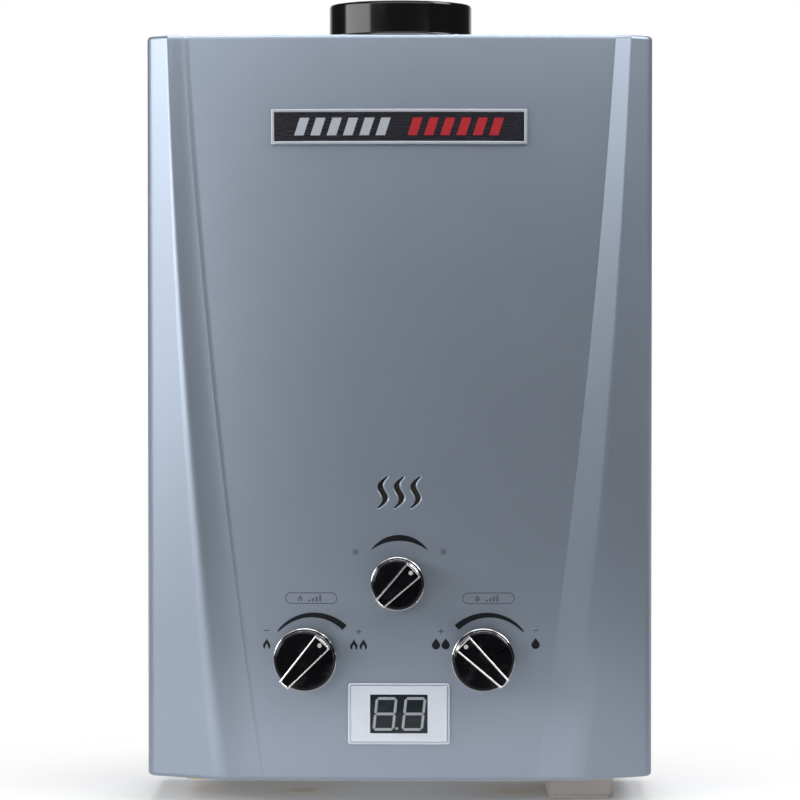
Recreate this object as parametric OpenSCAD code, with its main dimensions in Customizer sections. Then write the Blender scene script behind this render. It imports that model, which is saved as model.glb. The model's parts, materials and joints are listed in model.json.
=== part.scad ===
// Wall-hung tankless gas water heater, natural draught, two D cells for the spark.
// The wall is the plane y = 0, the front faces -Y, +Z is up, and the origin is the
// middle of the four wall holes. The valves, burner and chamber stack up from the
// floor plate, and the front panel is a surface that the controls take their seats from.

/* [Casing] */
// Width of the casing
cover_w = 300; // [290:1:330]
// Height of the casing without the flue collar
cover_h = 440; // [430:1:480]
// Depth of the casing's flat sides, from the wall
side_depth = 104; // [102:1:120]
// Thickness of the casing's sheet steel
sheet_t = 1; // [0.8:0.1:1.4]
// How far the middle of the front panel stands forward of the sides, at the top
panel_rise_top = 12.5; // [10:0.5:16]
// The same at the bottom
panel_rise_bottom = 22; // [18:0.5:26]
// How far the panel falls back from its middle to its crease, at the top
panel_bow = 6.5; // [3:0.5:8]
// Distance of the panel's crease from the casing's side, at the top
inner_inset_top = 22; // [18:0.5:26]
// The same at the bottom
inner_inset_bottom = 69.3; // [58:0.5:72]
// Distance of the outer crease from the casing's side, at the top
outer_inset_top = 12.8; // [9:0.2:14]
// The same at the bottom
outer_inset_bottom = 44.4; // [36:0.5:48]
// How far both creases bulge outwards at half height
crease_belly = 4.6; // [2:0.2:7]
// How far the outer crease stands proud of the panel's crease, at the top
ridge_lift_top = 3.8; // [2:0.2:5]
// The same at the bottom
ridge_lift_bottom = 0.5; // [0:0.1:2]
// Softness of the outer crease at the bottom
crease_soft = 12; // [6:0.5:16]
// Bend radius between a side and the front
corner_r = 5; // [3:0.5:7]
// Bend radius along the top and bottom edges
edge_r = 2.5; // [1.5:0.25:4]
// Width of the lip that is folded in under the sides
lip_w = 14; // [10:1:18]

/* [Chassis] */
// Thickness of the back and floor plates
chassis_t = 1.2; // [1:0.1:2]
// Clearance between the casing and the chassis that it slides over
slide_gap = 0.6; // [0.3:0.1:1.2]
// Depth of the back plate's folded edges
flange_d = 14; // [10:1:18]
// Distance between the wall holes, across
wall_hole_dx = 200; // [160:5:230]
// Distance between the wall holes, up and down
wall_hole_dz = 380; // [340:5:400]
// Diameter of a wall hole
wall_hole_d = 6.5; // [5:0.5:9]
// How far the floor plate lies above the casing's bottom edge
floor_recess = 14; // [10:1:20]

/* [Flue] */
// Outside diameter of the flue collar
collar_d = 86; // [76:1:90]
// Height of the flue collar above the casing
collar_rise = 21.5; // [15:0.5:40]
// Wall of the flue collar
collar_t = 1.6; // [1.2:0.1:2.5]

/* [Controls] */
// Height of the flame and water controls above the casing's bottom edge
knob_height = 71.5; // [68:0.5:80]
// Distance between the flame and water controls
knob_spacing = 105; // [100:1:112]
// How far the valves sit to the right of the casing's middle
valve_shift = -2.9; // [-5:0.1:5]
// Height of the season control above the other two
season_rise = 44.8; // [43:0.2:50]
// Sideways place of the season control
season_x = -0.8; // [-4:0.1:4]
// Radius of the flame and water knobs
knob_r = 18.2; // [15:0.1:20]
// Radius of the season knob
season_knob_r = 15.4; // [13:0.1:17]
// Height of a knob's skirt
skirt_h = 11; // [9:0.5:13]
// Height of a knob to the top of its grip
grip_h = 24; // [20:0.5:28]
// Width of a knob's grip at the tail
grip_tail_w = 6.8; // [6:0.2:8]
// Width of a knob's grip at the pointer
grip_head_w = 11.6; // [10:0.2:14]
// Wall of the bright trim round a grip
trim_t = 1.1; // [0.8:0.1:1.5]
// Diameter of a control spindle
spindle_d = 6; // [5:0.5:8]
// Pointer of the flame knob, clockwise from straight up
flame_pointer = 42; // [-45:1:45]
// Pointer of the water knob
water_pointer = -46; // [-46:1:45]
// Pointer of the season knob
season_pointer = 45; // [-45:1:45]

/* [Display and badge] */
// Width of the display bezel
bezel_w = 60; // [56:0.5:66]
// Height of the display bezel
bezel_h = 36; // [33:0.5:40]
// Height of the display's middle above the casing's bottom edge
display_height = 39.7; // [34:0.5:40]
// Width of the dark display window
window_w = 33.6; // [30:0.2:38]
// Height of the dark display window
window_h = 22.6; // [20:0.2:25]
// Width of the badge plate
badge_w = 151; // [120:1:170]
// Height of the badge plate
badge_h = 20.7; // [16:0.1:26]
// Distance of the badge's middle below the casing's top edge
badge_drop = 54.5; // [45:0.5:80]
// Thickness of the badge plate
badge_t = 2.6; // [2:0.1:4]

/* [Burner and heat exchanger] */
// Distance of the flame chamber's middle plane from the wall
core_depth = 58; // [57:1:62]
// Width of the flame chamber
chamber_w = 172; // [164:2:176]
// Depth of the flame chamber
chamber_d = 78; // [76:1:80]
// Height of the flame chamber
chamber_h = 110; // [100:1:130]
// Height of the finned exchanger
exchanger_h = 50; // [46:1:60]
// Sheet thickness of the chamber, exchanger shell and hood
copper_t = 1; // [0.8:0.1:1.2]
// Outside diameter of the water tube
tube_d = 13; // [12:0.5:14]
// Wall of the water tube
tube_t = 1; // [0.6:0.1:1.5]
// Centre-line radius of a bend in the water tube
bend_r = 14; // [13:0.5:15]
// Distance from fin to fin
fin_pitch = 4.2; // [3.5:0.1:6]
// Thickness of a fin
fin_t = 0.5; // [0.4:0.1:0.8]
// Number of burner bars
bars = 8; // [6:1:8]
// Distance from burner bar to burner bar
bar_pitch = 19; // [18:0.5:20]
// Width of a burner bar
bar_w = 9; // [7:0.5:11]
// Outside diameter of the gas manifold
manifold_d = 14; // [12:0.5:16]

/* [Connections] */
// Outside diameter of the half-inch pipe threads
thread_d = 20.96; // [20.96:0.01:21]
// Bore of the fittings
fitting_bore = 14; // [12:0.5:15]
// Length of a thread below the floor plate
thread_l = 19.8; // [15:0.2:24]
// Distance of the hot outlet to the left of the middle
hot_x = 122; // [118:1:126]

/* [Battery box] */
// Diameter of a cell
cell_d = 33.4; // [32.5:0.1:34.2]
// Length of a cell
cell_h = 60; // [59.5:0.1:61.5]
// Wall of the battery box
box_t = 2.2; // [1.8:0.1:3]
// Sideways place of the battery box
box_x = 108; // [104:0.5:112]
// Distance of the battery box from the wall
box_back = 23; // [20:1:25]
// How far the box hangs below the casing's bottom edge
box_drop = 14; // [12:0.5:24]
// Corner radius of the battery box
box_r = 4; // [2:0.5:6]

/* [Clearances] */
// Radial clearance of a shaft in its bore
running = 0.05; // [0.02:0.01:0.09]
// Gap between pieces that pass each other
pass_gap = 0.5; // [0.3:0.1:1]
// Gap between a knob and the panel
knob_gap = 1.2; // [1:0.1:2]
// Pad between the badge and the panel
badge_pad = 0.15; // [0.1:0.05:0.5]

/* [Hidden] */
$fn = 64;

// Finishes
silver_paint = [0.62, 0.65, 0.69];
gloss_black = [0.04, 0.04, 0.045];
bright_chrome = [0.85, 0.86, 0.88];
zinc = [0.72, 0.74, 0.76];
copper = [0.78, 0.47, 0.32];
brass = [0.78, 0.64, 0.36];
cast_alloy = [0.66, 0.67, 0.68];
stainless = [0.7, 0.7, 0.71];

// Casing
half_w = cover_w / 2;
top_z = cover_h / 2;
bottom_z = -cover_h / 2;
rear_gap = 2;
panel_steps = 6;
edge_steps = 3;
mid_stations = 12;
panel_tilt = atan((panel_rise_bottom - panel_rise_top) / cover_h);

// Heights that stack up from the bottom edge
floor_z = bottom_z + floor_recess;
valve_z = bottom_z + knob_height;
season_z = valve_z + season_rise;
display_z = bottom_z + display_height;
badge_z = top_z - badge_drop;
season_block = [34, 28, 22];
neck_gap = 5;
manifold_z = season_z + season_block.z / 2 + neck_gap + manifold_d / 2;
burner_rise = 19;
burner_top = manifold_z + burner_rise;
chamber_z = burner_top + 1;
exchanger_z = chamber_z + chamber_h;
hood_z = exchanger_z + exchanger_h;
hood_headroom = 5;
hood_top = top_z - sheet_t - hood_headroom;

// Places across and in depth
flame_x = valve_shift - knob_spacing / 2;
water_x = valve_shift + knob_spacing / 2;
core_y = -core_depth;
core_front = core_y - chamber_d / 2;
core_rear = core_y + chamber_d / 2;
tube_r = tube_d / 2;
tube_in = tube_r - tube_t;
core_flange = 4;
coil_gap = 0.3;
coil_reach = tube_r + coil_gap;
rod_y = -68;
rod_r = 2.5;
spindle_r = spindle_d / 2;

// Gas valve, water valve and the membrane housing between them
gas_block = [58, 54, 48];
gas_mid = [valve_shift - 56.1, -73];
water_block = [50, 50, 50];
water_mid = [water_x + 7.4, rod_y];
block_bottom = valve_z - 24.5;
gas_right = gas_mid.x + gas_block.x / 2;
water_left = water_mid.x - water_block.x / 2;
membrane_t = 1.2;
membrane_x = water_left - 12;
housing_r = 34;
piston_r = 21.7;
boss_front = -112;
gas_port = [gas_mid.x + 15, -92];
gas_port_rise = 8;
feed_r = 5;
feed_bend = 10;
gas_pipe = [gas_mid.x - 1, core_y];
cold_pipe_xy = [water_mid.x + 10, core_y];
outlet_xy = [chamber_w / 2 + coil_reach - 2 * bend_r - 2, rod_y];
outlet_rise = 4;
drain_xy = [water_mid.x - 14, core_y];
block_top = block_bottom + gas_block.z;
water_top = block_bottom + water_block.z;

// Manifold and burner
manifold_y = -104;
manifold_r = manifold_d / 2;
jet_l = 7;
mouth_y = manifold_y + manifold_r + jet_l - 0.5;
tray_front = mouth_y - 1;
tray_rear = core_rear - 2;
bars_w = bars * bar_pitch;

// Exchanger tubes: five passes, three low and two high between them, in the water's order
pass_dy = 15;
pass_dz = 20;
pass_low = exchanger_z + 15;
passes = [
  [core_y - pass_dy, pass_low + pass_dz], [core_y - 2 * pass_dy, pass_low], [core_y, pass_low],
  [core_y + pass_dy, pass_low + pass_dz], [core_y + 2 * pass_dy, pass_low]];
turn_x = chamber_w / 2 + 4;
entry_x = chamber_w / 2 + 2;
coil_z = chamber_z + 66;
coil_x = chamber_w / 2 + coil_reach;
coil_front = core_front - coil_reach;
coil_rear = core_rear + coil_reach;
riser_x = chamber_w / 2 + 18;
coil_start_z = chamber_z - 24;
nut_l = 12;
filter_l = 16;

// Battery box
cell_gap = 0.6;
box_w = cell_d + 2 * (cell_gap + box_t);
box_d = 2 * (cell_d + cell_gap) + cell_gap + 2 * box_t;
box_y = -box_back - box_d / 2;
door_t = 2.4;
door_z = bottom_z - box_drop;
box_z = door_z + door_t;
contact_h = 4;
box_roof = box_z + cell_h + 2 * contact_h;
cell_y = [box_y - (cell_d + cell_gap) / 2, box_y + (cell_d + cell_gap) / 2];
hinge_r = 2;
hinge_y = -box_back + hinge_r + 0.6;
hinge_z = door_z + hinge_r;
latch_x = 12;
latch_w = 4;

// Small parts
screw_r = 1.9;
fitting_flange_r = 15;
fitting_flange_t = 3;
clip_x = 45;

function fall(z) = (top_z - z) / cover_h;
function crease(top, bottom, z) =
  half_w - top - (bottom - top) * fall(z) + 4 * crease_belly * fall(z) * (1 - fall(z));
function inner_crease(z) = crease(inner_inset_top, inner_inset_bottom, z);
function outer_crease(z) = crease(outer_inset_top, outer_inset_bottom, z);
function blend(a, b, z) = a + (b - a) * fall(z);
function panel_depth(z) = side_depth + blend(panel_rise_top, panel_rise_bottom, z);
function bow(x) = panel_bow * pow(x / (half_w - inner_inset_top), 2);
// The panel's outer face
function front_y(x, z) = bow(x) - panel_depth(z);

function unit(v) = v / norm(v);
// A soft bend from a to c that leans towards b
function bend(a, b, c, n) = [for (i = [0:n]) let (t = i / n)
  (1 - t) * (1 - t) * a + 2 * t * (1 - t) * b + t * t * c];
function toward(a, b, d) = a + unit(b - a) * min(d, 0.45 * norm(b - a));
function reversed(p) = [for (i = [len(p) - 1:-1:0]) p[i]];

// Right half of the casing's outline at height z, from the panel's middle to the rear edge
function half_outline(z) = let (
    x2 = inner_crease(z),
    inner = [x2, front_y(x2, z)],
    ridge = [outer_crease(z), inner.y - blend(ridge_lift_top, ridge_lift_bottom, z)],
    side = [half_w, -side_depth],
    soft = blend(1, crease_soft, z))
  concat(
    [for (i = [0:panel_steps]) let (x = x2 * i / panel_steps) [x, front_y(x, z)]],
    bend(toward(ridge, inner, soft), ridge, toward(ridge, side, soft), 3),
    bend(toward(side, ridge, corner_r), side, side + [0, corner_r], 3),
    [[half_w, -rear_gap]]);

// The whole outline, drawn in by e where the top and bottom edges are rounded
function outline(z, e) = let (
    half = [for (p = half_outline(z)) [p.x * (1 - e / half_w), min(p.y + e, -rear_gap)]])
  concat([for (i = [len(half) - 1:-1:1]) [-half[i].x, half[i].y]], half);

function normal(a, b) = let (d = unit(b - a)) [-d.y, d.x];
// An outline moved inwards by t
function inward(p, t) = [for (i = [0:len(p) - 1])
  let (
    n1 = i == 0 ? normal(p[0], p[1]) : normal(p[i - 1], p[i]),
    n2 = i == len(p) - 1 ? n1 : normal(p[i], p[i + 1]),
    n = unit(n1 + n2))
  p[i] + n * t / (n * n1)];

// Heights of the sections, with the inset that rounds each end
function edge_station(a, dir) =
  [dir * (top_z - edge_r * (1 - cos(a))), edge_r * (1 - sin(a))];
stations = concat(
  [for (i = [0:edge_steps]) edge_station(90 * i / edge_steps, 1)],
  [for (i = [1:mid_stations - 1]) [top_z - edge_r - (cover_h - 2 * edge_r) * i / mid_stations, 0]],
  [for (i = [edge_steps:-1:0]) edge_station(90 * i / edge_steps, -1)]);

// Sheet wall of the casing, lofted through all sections
module casing_wall() {
  rings = [for (s = stations) let (o = outline(s[0], s[1]))
    [for (p = concat(o, reversed(inward(o, sheet_t)))) [p.x, p.y, s[0]]]];
  n = len(rings[0]);
  last = len(rings) - 1;
  half = n / 2;
  skin = [for (j = [0:last - 1], i = [0:n - 1]) let (
      a = j * n + i, b = j * n + (i + 1) % n, c = b + n, d = a + n)
    each [[a, b, c], [a, c, d]]];
  caps = [for (i = [0:half - 2]) each [
    [i, n - 1 - i, n - 2 - i], [i, n - 2 - i, i + 1],
    [last * n + i, last * n + n - 2 - i, last * n + n - 1 - i],
    [last * n + i, last * n + i + 1, last * n + n - 2 - i]]];
  polyhedron([for (r = rings) each r], concat(skin, caps));
}

// Flat sheet in the wall's plane, from y = 0 forwards
module wall_slab(t) { rotate([90, 0, 0]) linear_extrude(t) children(); }
// Local frame whose Z points at the viewer, Y up
module facing(x, y, z) { translate([x, y, z]) rotate([90, 0, 0]) children(); }
// The same, leaning with the panel and standing on its outer face
module on_panel(z) {
  translate([0, front_y(0, z), z]) rotate([90 - panel_tilt, 0, 0]) children();
}
module along_x(x, y, z) { translate([x, y, z]) rotate([0, 90, 0]) children(); }

module rounded_rect(w, h, r) {
  square([w - 2 * r, h], center = true);
  square([w, h - 2 * r], center = true);
  for (x = [-1, 1], y = [-1, 1])
    translate([x * (w / 2 - r), y * (h / 2 - r)]) circle(r);
}
module rounded_block(w, d, h, r) { linear_extrude(h) rounded_rect(w, d, r); }

// Open rectangular duct with outside size w by d
module duct(w, d, h, t) {
  linear_extrude(h) difference() {
    square([w, d], center = true);
    square([w - 2 * t, d - 2 * t], center = true);
  }
}

// A straight piece or a bend of tube, and a run of both through the given points
module ring_2d(r_out, r_in) {
  difference() {
    circle(r_out);
    if (r_in > 0) circle(r_in);
  }
}
module straight(a, b, r_out, r_in) {
  d = unit(b - a);
  x = abs(d.z) < 0.9 ? unit(cross([0, 0, 1], d)) : unit(cross([0, 1, 0], d));
  y = cross(d, x);
  multmatrix([[x.x, y.x, d.x, a.x], [x.y, y.y, d.y, a.y], [x.z, y.z, d.z, a.z]])
    linear_extrude(norm(b - a)) ring_2d(r_out, r_in);
}
module elbow(p, u, v, r_out, r_in, r) {
  t = acos(u * v);
  w = unit(v - (u * v) * u);
  c = p - u * r * tan(t / 2) + w * r;
  z = cross(-w, u);
  multmatrix([[-w.x, u.x, z.x, c.x], [-w.y, u.y, z.y, c.y], [-w.z, u.z, z.z, c.z]])
    rotate_extrude(angle = t) translate([r, 0]) ring_2d(r_out, r_in);
}
module bent_tube(p, r_out, r_in, r) {
  last = len(p) - 1;
  dir = [for (i = [0:last - 1]) unit(p[i + 1] - p[i])];
  trim = [for (i = [0:last]) i == 0 || i == last ? 0 : r * tan(acos(dir[i - 1] * dir[i]) / 2)];
  for (i = [0:last - 1])
    straight(p[i] + dir[i] * trim[i], p[i + 1] - dir[i] * trim[i + 1], r_out, r_in);
  for (i = [1:last - 1]) elbow(p[i], dir[i - 1], dir[i], r_out, r_in, r);
}

// Round lead or wire swept along soft corners, as one mesh with few sides
function carry(t, n, i) = i == len(t) ? [] :
  let (m = unit(n - (n * t[i]) * t[i])) concat([m], carry(t, m, i + 1));
function tangents(p) = [for (i = [0:len(p) - 1])
  unit(p[min(i + 1, len(p) - 1)] - p[max(i - 1, 0)])];
function softened(p, r) = concat([p[0]],
  [for (i = [1:len(p) - 2]) each bend(toward(p[i], p[i - 1], r), p[i], toward(p[i], p[i + 1], r), 4)],
  [p[len(p) - 1]]);
module sweep(p, r, sides) {
  t = tangents(p);
  n = carry(t, abs(t[0].z) < 0.9 ? [0, 0, 1] : [0, 1, 0], 0);
  last = len(p) - 1;
  points = [for (i = [0:last], k = [0:sides - 1]) let (a = 360 * k / sides)
    p[i] + r * (cos(a) * n[i] + sin(a) * cross(t[i], n[i]))];
  skin = [for (i = [0:last - 1], k = [0:sides - 1]) let (
      a = i * sides + k, b = i * sides + (k + 1) % sides)
    each [[a, a + sides, b + sides], [a, b + sides, b]]];
  polyhedron(points, concat(skin, [
    [for (k = [0:sides - 1]) k],
    [for (k = [sides - 1:-1:0]) last * sides + k]]));
}

// Casing

// One S-shaped flame slot: a leaning wave whose width swells in the middle
slot_h = 18.5;
slot_swing = 2.65;
slot_lean = 2.7;
slot_w = 3.4;
slot_pitch = 9.7;
slot_rise = 11.8;
slot_steps = 12;
function slot_edge(side) = [for (i = [0:slot_steps]) let (t = i / slot_steps)
  [slot_lean * (1 - 2 * t) - slot_swing * sin(360 * t) + side * slot_w / 2 * (0.25 + 0.75 * sin(180 * t)),
    slot_h * (0.5 - t)]];
slots_z = burner_top + slot_rise;
module flame_slots() {
  for (i = [-1:1]) translate([i * slot_pitch, 0])
    polygon(concat(slot_edge(-1), reversed(slot_edge(1))));
}

screw_ys = flange_d / 2;
lip_front = side_depth - 4;
foot_y = -lip_front - 6;
top_screw_x = half_w - 45;
module front_cover() {
  color(silver_paint) difference() {
    union() {
      casing_wall();
      translate([0, 0, top_z - sheet_t]) linear_extrude(sheet_t) polygon(outline(top_z, edge_r));
      translate([0, 0, bottom_z]) linear_extrude(sheet_t) difference() {
        polygon(outline(bottom_z, edge_r));
        translate([-half_w + lip_w, -lip_front]) square([cover_w - 2 * lip_w, lip_front]);
      }
    }
    translate([0, core_y, top_z - 10]) cylinder(h = 20, d = collar_d + 2 * pass_gap);
    for (c = [[flame_x, valve_z], [water_x, valve_z], [season_x, season_z]])
      facing(c.x, -side_depth + 20, c.y) cylinder(h = 50, r = spindle_r + 4);
    on_panel(display_z) translate([0, 0, -10])
      rounded_block(window_w + 16, window_h + 6, 20, 1);
    facing(0, -side_depth + 20, slots_z) linear_extrude(50) flame_slots();
    for (s = [-1, 1]) {
      translate([s * clip_x, foot_y, bottom_z - 1]) cylinder(h = 4, r = screw_r + 0.3);
      translate([s * top_screw_x, -screw_ys, top_z - 3]) cylinder(h = 5, r = screw_r + 0.3);
    }
  }
}

collar_r = collar_d / 2;
collar_flange = 7;
module flue_collar() {
  top = top_z + collar_rise;
  color(gloss_black) translate([0, core_y, 0]) difference() {
    rotate_extrude($fn = 128) {
      polygon([
        [collar_r - collar_t, hood_top], [collar_r, hood_top], [collar_r, top_z],
        [collar_r + collar_flange, top_z], [collar_r + collar_flange, top_z + 1],
        [collar_r + 1.5, top_z + 1], [collar_r, top_z + 3], [collar_r, top - 2],
        [collar_r - 0.8, top - 0.5], [collar_r - collar_t, top]]);
    }
    for (a = [45:90:315]) rotate(a) translate([collar_r + 4.5, 0, top_z - 1])
      cylinder(h = 4, r = 1.2);
  }
}

// A strip that follows the panel's bow, from depth a to depth b in front of it
badge_steps = 10;
module badge_strip(w, h, a, b) {
  xs = [for (i = [0:badge_steps]) w * (i / badge_steps - 0.5)];
  on_panel(badge_z) rotate([90, 0, 0]) linear_extrude(h, center = true)
    polygon(concat([for (x = xs) [x, a - bow(x)]], [for (x = reversed(xs)) [x, b - bow(x)]]));
}
badge_rim = 1.8;
badge_floor = 1;
badge_step = 0.5;
badge_bed = 0.05;
module badge_frame() {
  color(bright_chrome) difference() {
    badge_strip(badge_w, badge_h, badge_pad, badge_t);
    badge_strip(badge_w - 2 * badge_rim, badge_h - 2 * badge_rim, badge_floor, badge_t + 5);
  }
}
module badge_inlay() {
  gap = 2 * badge_rim + 0.2;
  color(gloss_black)
    badge_strip(badge_w - gap, badge_h - gap, badge_floor + badge_bed, badge_t - badge_step);
}

// Mica pane in a folded frame behind the flame slots
pane = [60, 36];
pane_t = 0.8;
module flame_window() {
  edge = bow(pane.x / 2 + 6) + sheet_t + 0.1;
  color([0.55, 0.5, 0.4]) translate([0, edge, 0]) on_panel(slots_z)
    translate([0, 0, -pane_t]) linear_extrude(pane_t) rounded_rect(pane.x, pane.y, 3);
  color(zinc) translate([0, edge, 0]) on_panel(slots_z) difference() {
    translate([0, 0, -pane_t - 1]) rounded_block(pane.x + 12, pane.y + 8, 1, 4);
    translate([0, 0, -pane_t - 2]) rounded_block(pane.x - 10, pane.y - 8, 3, 3);
  }
}

// Display: bezel on the panel, dark lens in it, module and board behind
bezel_t = 2.2;
lens_t = 1.5;
module_d = 11;
module display_bezel() {
  color(bright_chrome) on_panel(display_z) difference() {
    union() {
      rounded_block(bezel_w, bezel_h, 1.2, 1.5);
      translate([0, 0, 1.2]) rounded_block(bezel_w - 3.2, bezel_h - 3, bezel_t - 1.2, 0.6);
      translate([0, 0, -4]) rounded_block(window_w + 15.4, window_h + 5.4, 4, 0.8);
    }
    translate([0, 0, bezel_t - lens_t - 0.3]) rounded_block(window_w, window_h, 5, 0.4);
    translate([0, 0, -5]) rounded_block(window_w - 2, window_h - 2, 10, 0.4);
  }
}
module display_lens() {
  color([0.1, 0.11, 0.12]) on_panel(display_z) translate([0, 0, bezel_t - lens_t - 0.3])
    rounded_block(window_w - 0.1, window_h - 0.1, lens_t, 0.35);
}
// Backlit module: a frame round a sunk glass, with two rows of pins to the board
module display_module() {
  face = bezel_t - lens_t - 1.3;
  w = window_w - 2.6;
  h = window_h - 2.6;
  color([0.16, 0.17, 0.18]) on_panel(display_z) difference() {
    translate([0, 0, face - module_d]) rounded_block(w, h, module_d, 0.5);
    translate([0, 0, face - 0.5]) rounded_block(w - 2, h - 2, 2, 0.4);
  }
}
module display_board() {
  face = bezel_t - lens_t - 1.3 - module_d;
  color([0.1, 0.35, 0.2]) on_panel(display_z) difference() {
    union() {
      translate([0, 0, face - 1.6]) rounded_block(window_w + 22, window_h + 6, 1.6, 2);
      for (x = [-1, 1]) translate([x * (window_w / 2 + 5.5), 0, face])
        cylinder(h = -4 - face, r = 2.2);
    }
    for (x = [-1, 1]) translate([x * (window_w / 2 + 5.5), 0, face - 5]) cylinder(h = 7, r = 1);
  }
}

// Controls

hub_r = 5.5;
flat_depth = 0.8;
grip_end = 0.6;
spindle_stub = 15;
// Outline of a grip: narrow at the tail, wide at the pointer, bounded by the knob's rim
module grip_2d(r, inset, head_inset) {
  tail = grip_tail_w / 2 - inset;
  head = grip_head_w / 2 - inset;
  intersection() {
    polygon([[-tail, -r + inset], [tail, -r + inset], [head, r - head_inset], [-head, r - head_inset]]);
    circle(r - grip_end - inset);
  }
}
module d_shape(r) {
  intersection() {
    circle(r);
    translate([-r, -r]) square([2 * r, 2 * r - flat_depth]);
  }
}
// Black moulding: hollow skirt, hub with ribs, and the core of the grip
module knob_moulding(r) {
  wall = 1.8;
  roof = 2.2;
  difference() {
    union() {
      rotate_extrude($fn = 96) polygon([
        [0, 0], [r, 0], [r, 2.4], [r - 0.5, 2.4], [r - 1, skirt_h - 1.2],
        [r - 2.2, skirt_h], [0, skirt_h]]);
      linear_extrude(grip_h - 0.4) grip_2d(r, trim_t, 3.2);
    }
    difference() {
      translate([0, 0, -1]) cylinder(h = skirt_h - roof + 1, r = r - wall);
      translate([0, 0, -1]) cylinder(h = skirt_h, r = hub_r);
      for (a = [30:120:270]) rotate(a)
        translate([0, -0.6, 2]) cube([r - wall + 0.5, 1.2, skirt_h]);
    }
    translate([0, 0, -1]) linear_extrude(spindle_stub - 1) d_shape(spindle_r + running);
  }
}
// Bright trim: the band round the grip, and the ring round the skirt's foot
module knob_bright(r) {
  translate([0, 0, skirt_h]) linear_extrude(grip_h - skirt_h) difference() {
    grip_2d(r, 0, 0.5);
    grip_2d(r, trim_t, 3.2);
  }
  difference() {
    cylinder(h = 1.8, r = r + 0.6, $fn = 96);
    translate([0, 0, -1]) cylinder(h = 4, r = r, $fn = 96);
  }
}
// Spindle from its valve to the knob's hub, flattened where the knob grips it
module spindle(x, z, r, inner) {
  seat = knob_seat(x, z, r);
  facing(x, inner, z) cylinder(h = inner - seat, r = spindle_r);
  facing(x, seat, z) linear_extrude(spindle_stub - 3) d_shape(spindle_r);
}
// The plane of a knob's back rim, clear of the bowed and leaning panel
function knob_seat(x, z, r) = front_y(max(abs(x) - r, 0), z - r) - knob_gap;
module control(x, z, r, pointer) {
  facing(x, knob_seat(x, z, r), z) rotate(-pointer) children();
}
module flame_knob() {
  color(gloss_black) control(flame_x, valve_z, knob_r, flame_pointer) knob_moulding(knob_r);
}
module flame_knob_trim() {
  color(bright_chrome) control(flame_x, valve_z, knob_r, flame_pointer) knob_bright(knob_r);
}
module water_knob() {
  color(gloss_black) control(water_x, valve_z, knob_r, water_pointer) knob_moulding(knob_r);
}
module water_knob_trim() {
  color(bright_chrome) control(water_x, valve_z, knob_r, water_pointer) knob_bright(knob_r);
}
module season_knob() {
  color(gloss_black) control(season_x, season_z, season_knob_r, season_pointer)
    knob_moulding(season_knob_r);
}
module season_knob_trim() {
  color(bright_chrome) control(season_x, season_z, season_knob_r, season_pointer)
    knob_bright(season_knob_r);
}
spindle_depth = 14;
module turned_spindle(x, z, r, boss, pointer) {
  translate([x, 0, z]) rotate([0, pointer, 0]) translate([-x, 0, -z])
    spindle(x, z, r, boss + spindle_depth);
}
season_front = manifold_y - 8;
module flame_spindle() {
  color(brass) turned_spindle(flame_x, valve_z, knob_r, boss_front, flame_pointer);
}
module water_spindle() {
  color(brass) turned_spindle(water_x, valve_z, knob_r, boss_front, water_pointer);
}
module season_spindle() {
  color(brass) turned_spindle(season_x, season_z, season_knob_r, season_front, season_pointer);
}
// Bore that a spindle turns in, opened from a valve's front boss
module spindle_bore(x, z, boss) {
  facing(x, boss + spindle_depth + 0.2, z) cylinder(h = spindle_depth + 5, r = spindle_r + running);
}

// Chassis

plate_w = cover_w - 2 * (sheet_t + slide_gap);
plate_h = cover_h - 2 * (sheet_t + slide_gap);
bead_h = 2.4;
bead_x = 70;
// Outline of a pressed bead, wider by e on each side
module bead_2d(e) {
  polygon([[-7 - e, 0], [7 + e, 0], [4 + e, bead_h], [-4 - e, bead_h]]);
}
module back_plate() {
  bead_l = plate_h - 90;
  color(zinc) difference() {
    union() {
      wall_slab(chassis_t) square([plate_w, plate_h], center = true);
      for (s = [-1, 1]) {
        translate([s * (plate_w - chassis_t) / 2, -flange_d / 2, 0])
          cube([chassis_t, flange_d, plate_h], center = true);
        translate([0, -flange_d / 2, s * (plate_h - chassis_t) / 2])
          cube([plate_w, flange_d, chassis_t], center = true);
        translate([s * bead_x, -chassis_t, -bead_l / 2]) mirror([0, 1, 0])
          linear_extrude(bead_l) bead_2d(1);
      }
    }
    for (s = [-1, 1]) {
      translate([s * bead_x, 0, -bead_l / 2 + chassis_t]) mirror([0, 1, 0])
        linear_extrude(bead_l - 2 * chassis_t) bead_2d(0);
      translate([s * top_screw_x, -screw_ys, plate_h / 2 - 5]) cylinder(h = 8, r = screw_r + running);
      for (t = [-1, 1])
        facing(s * wall_hole_dx / 2, 5, t * wall_hole_dz / 2) cylinder(h = 10, d = wall_hole_d);
    }
  }
}

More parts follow.
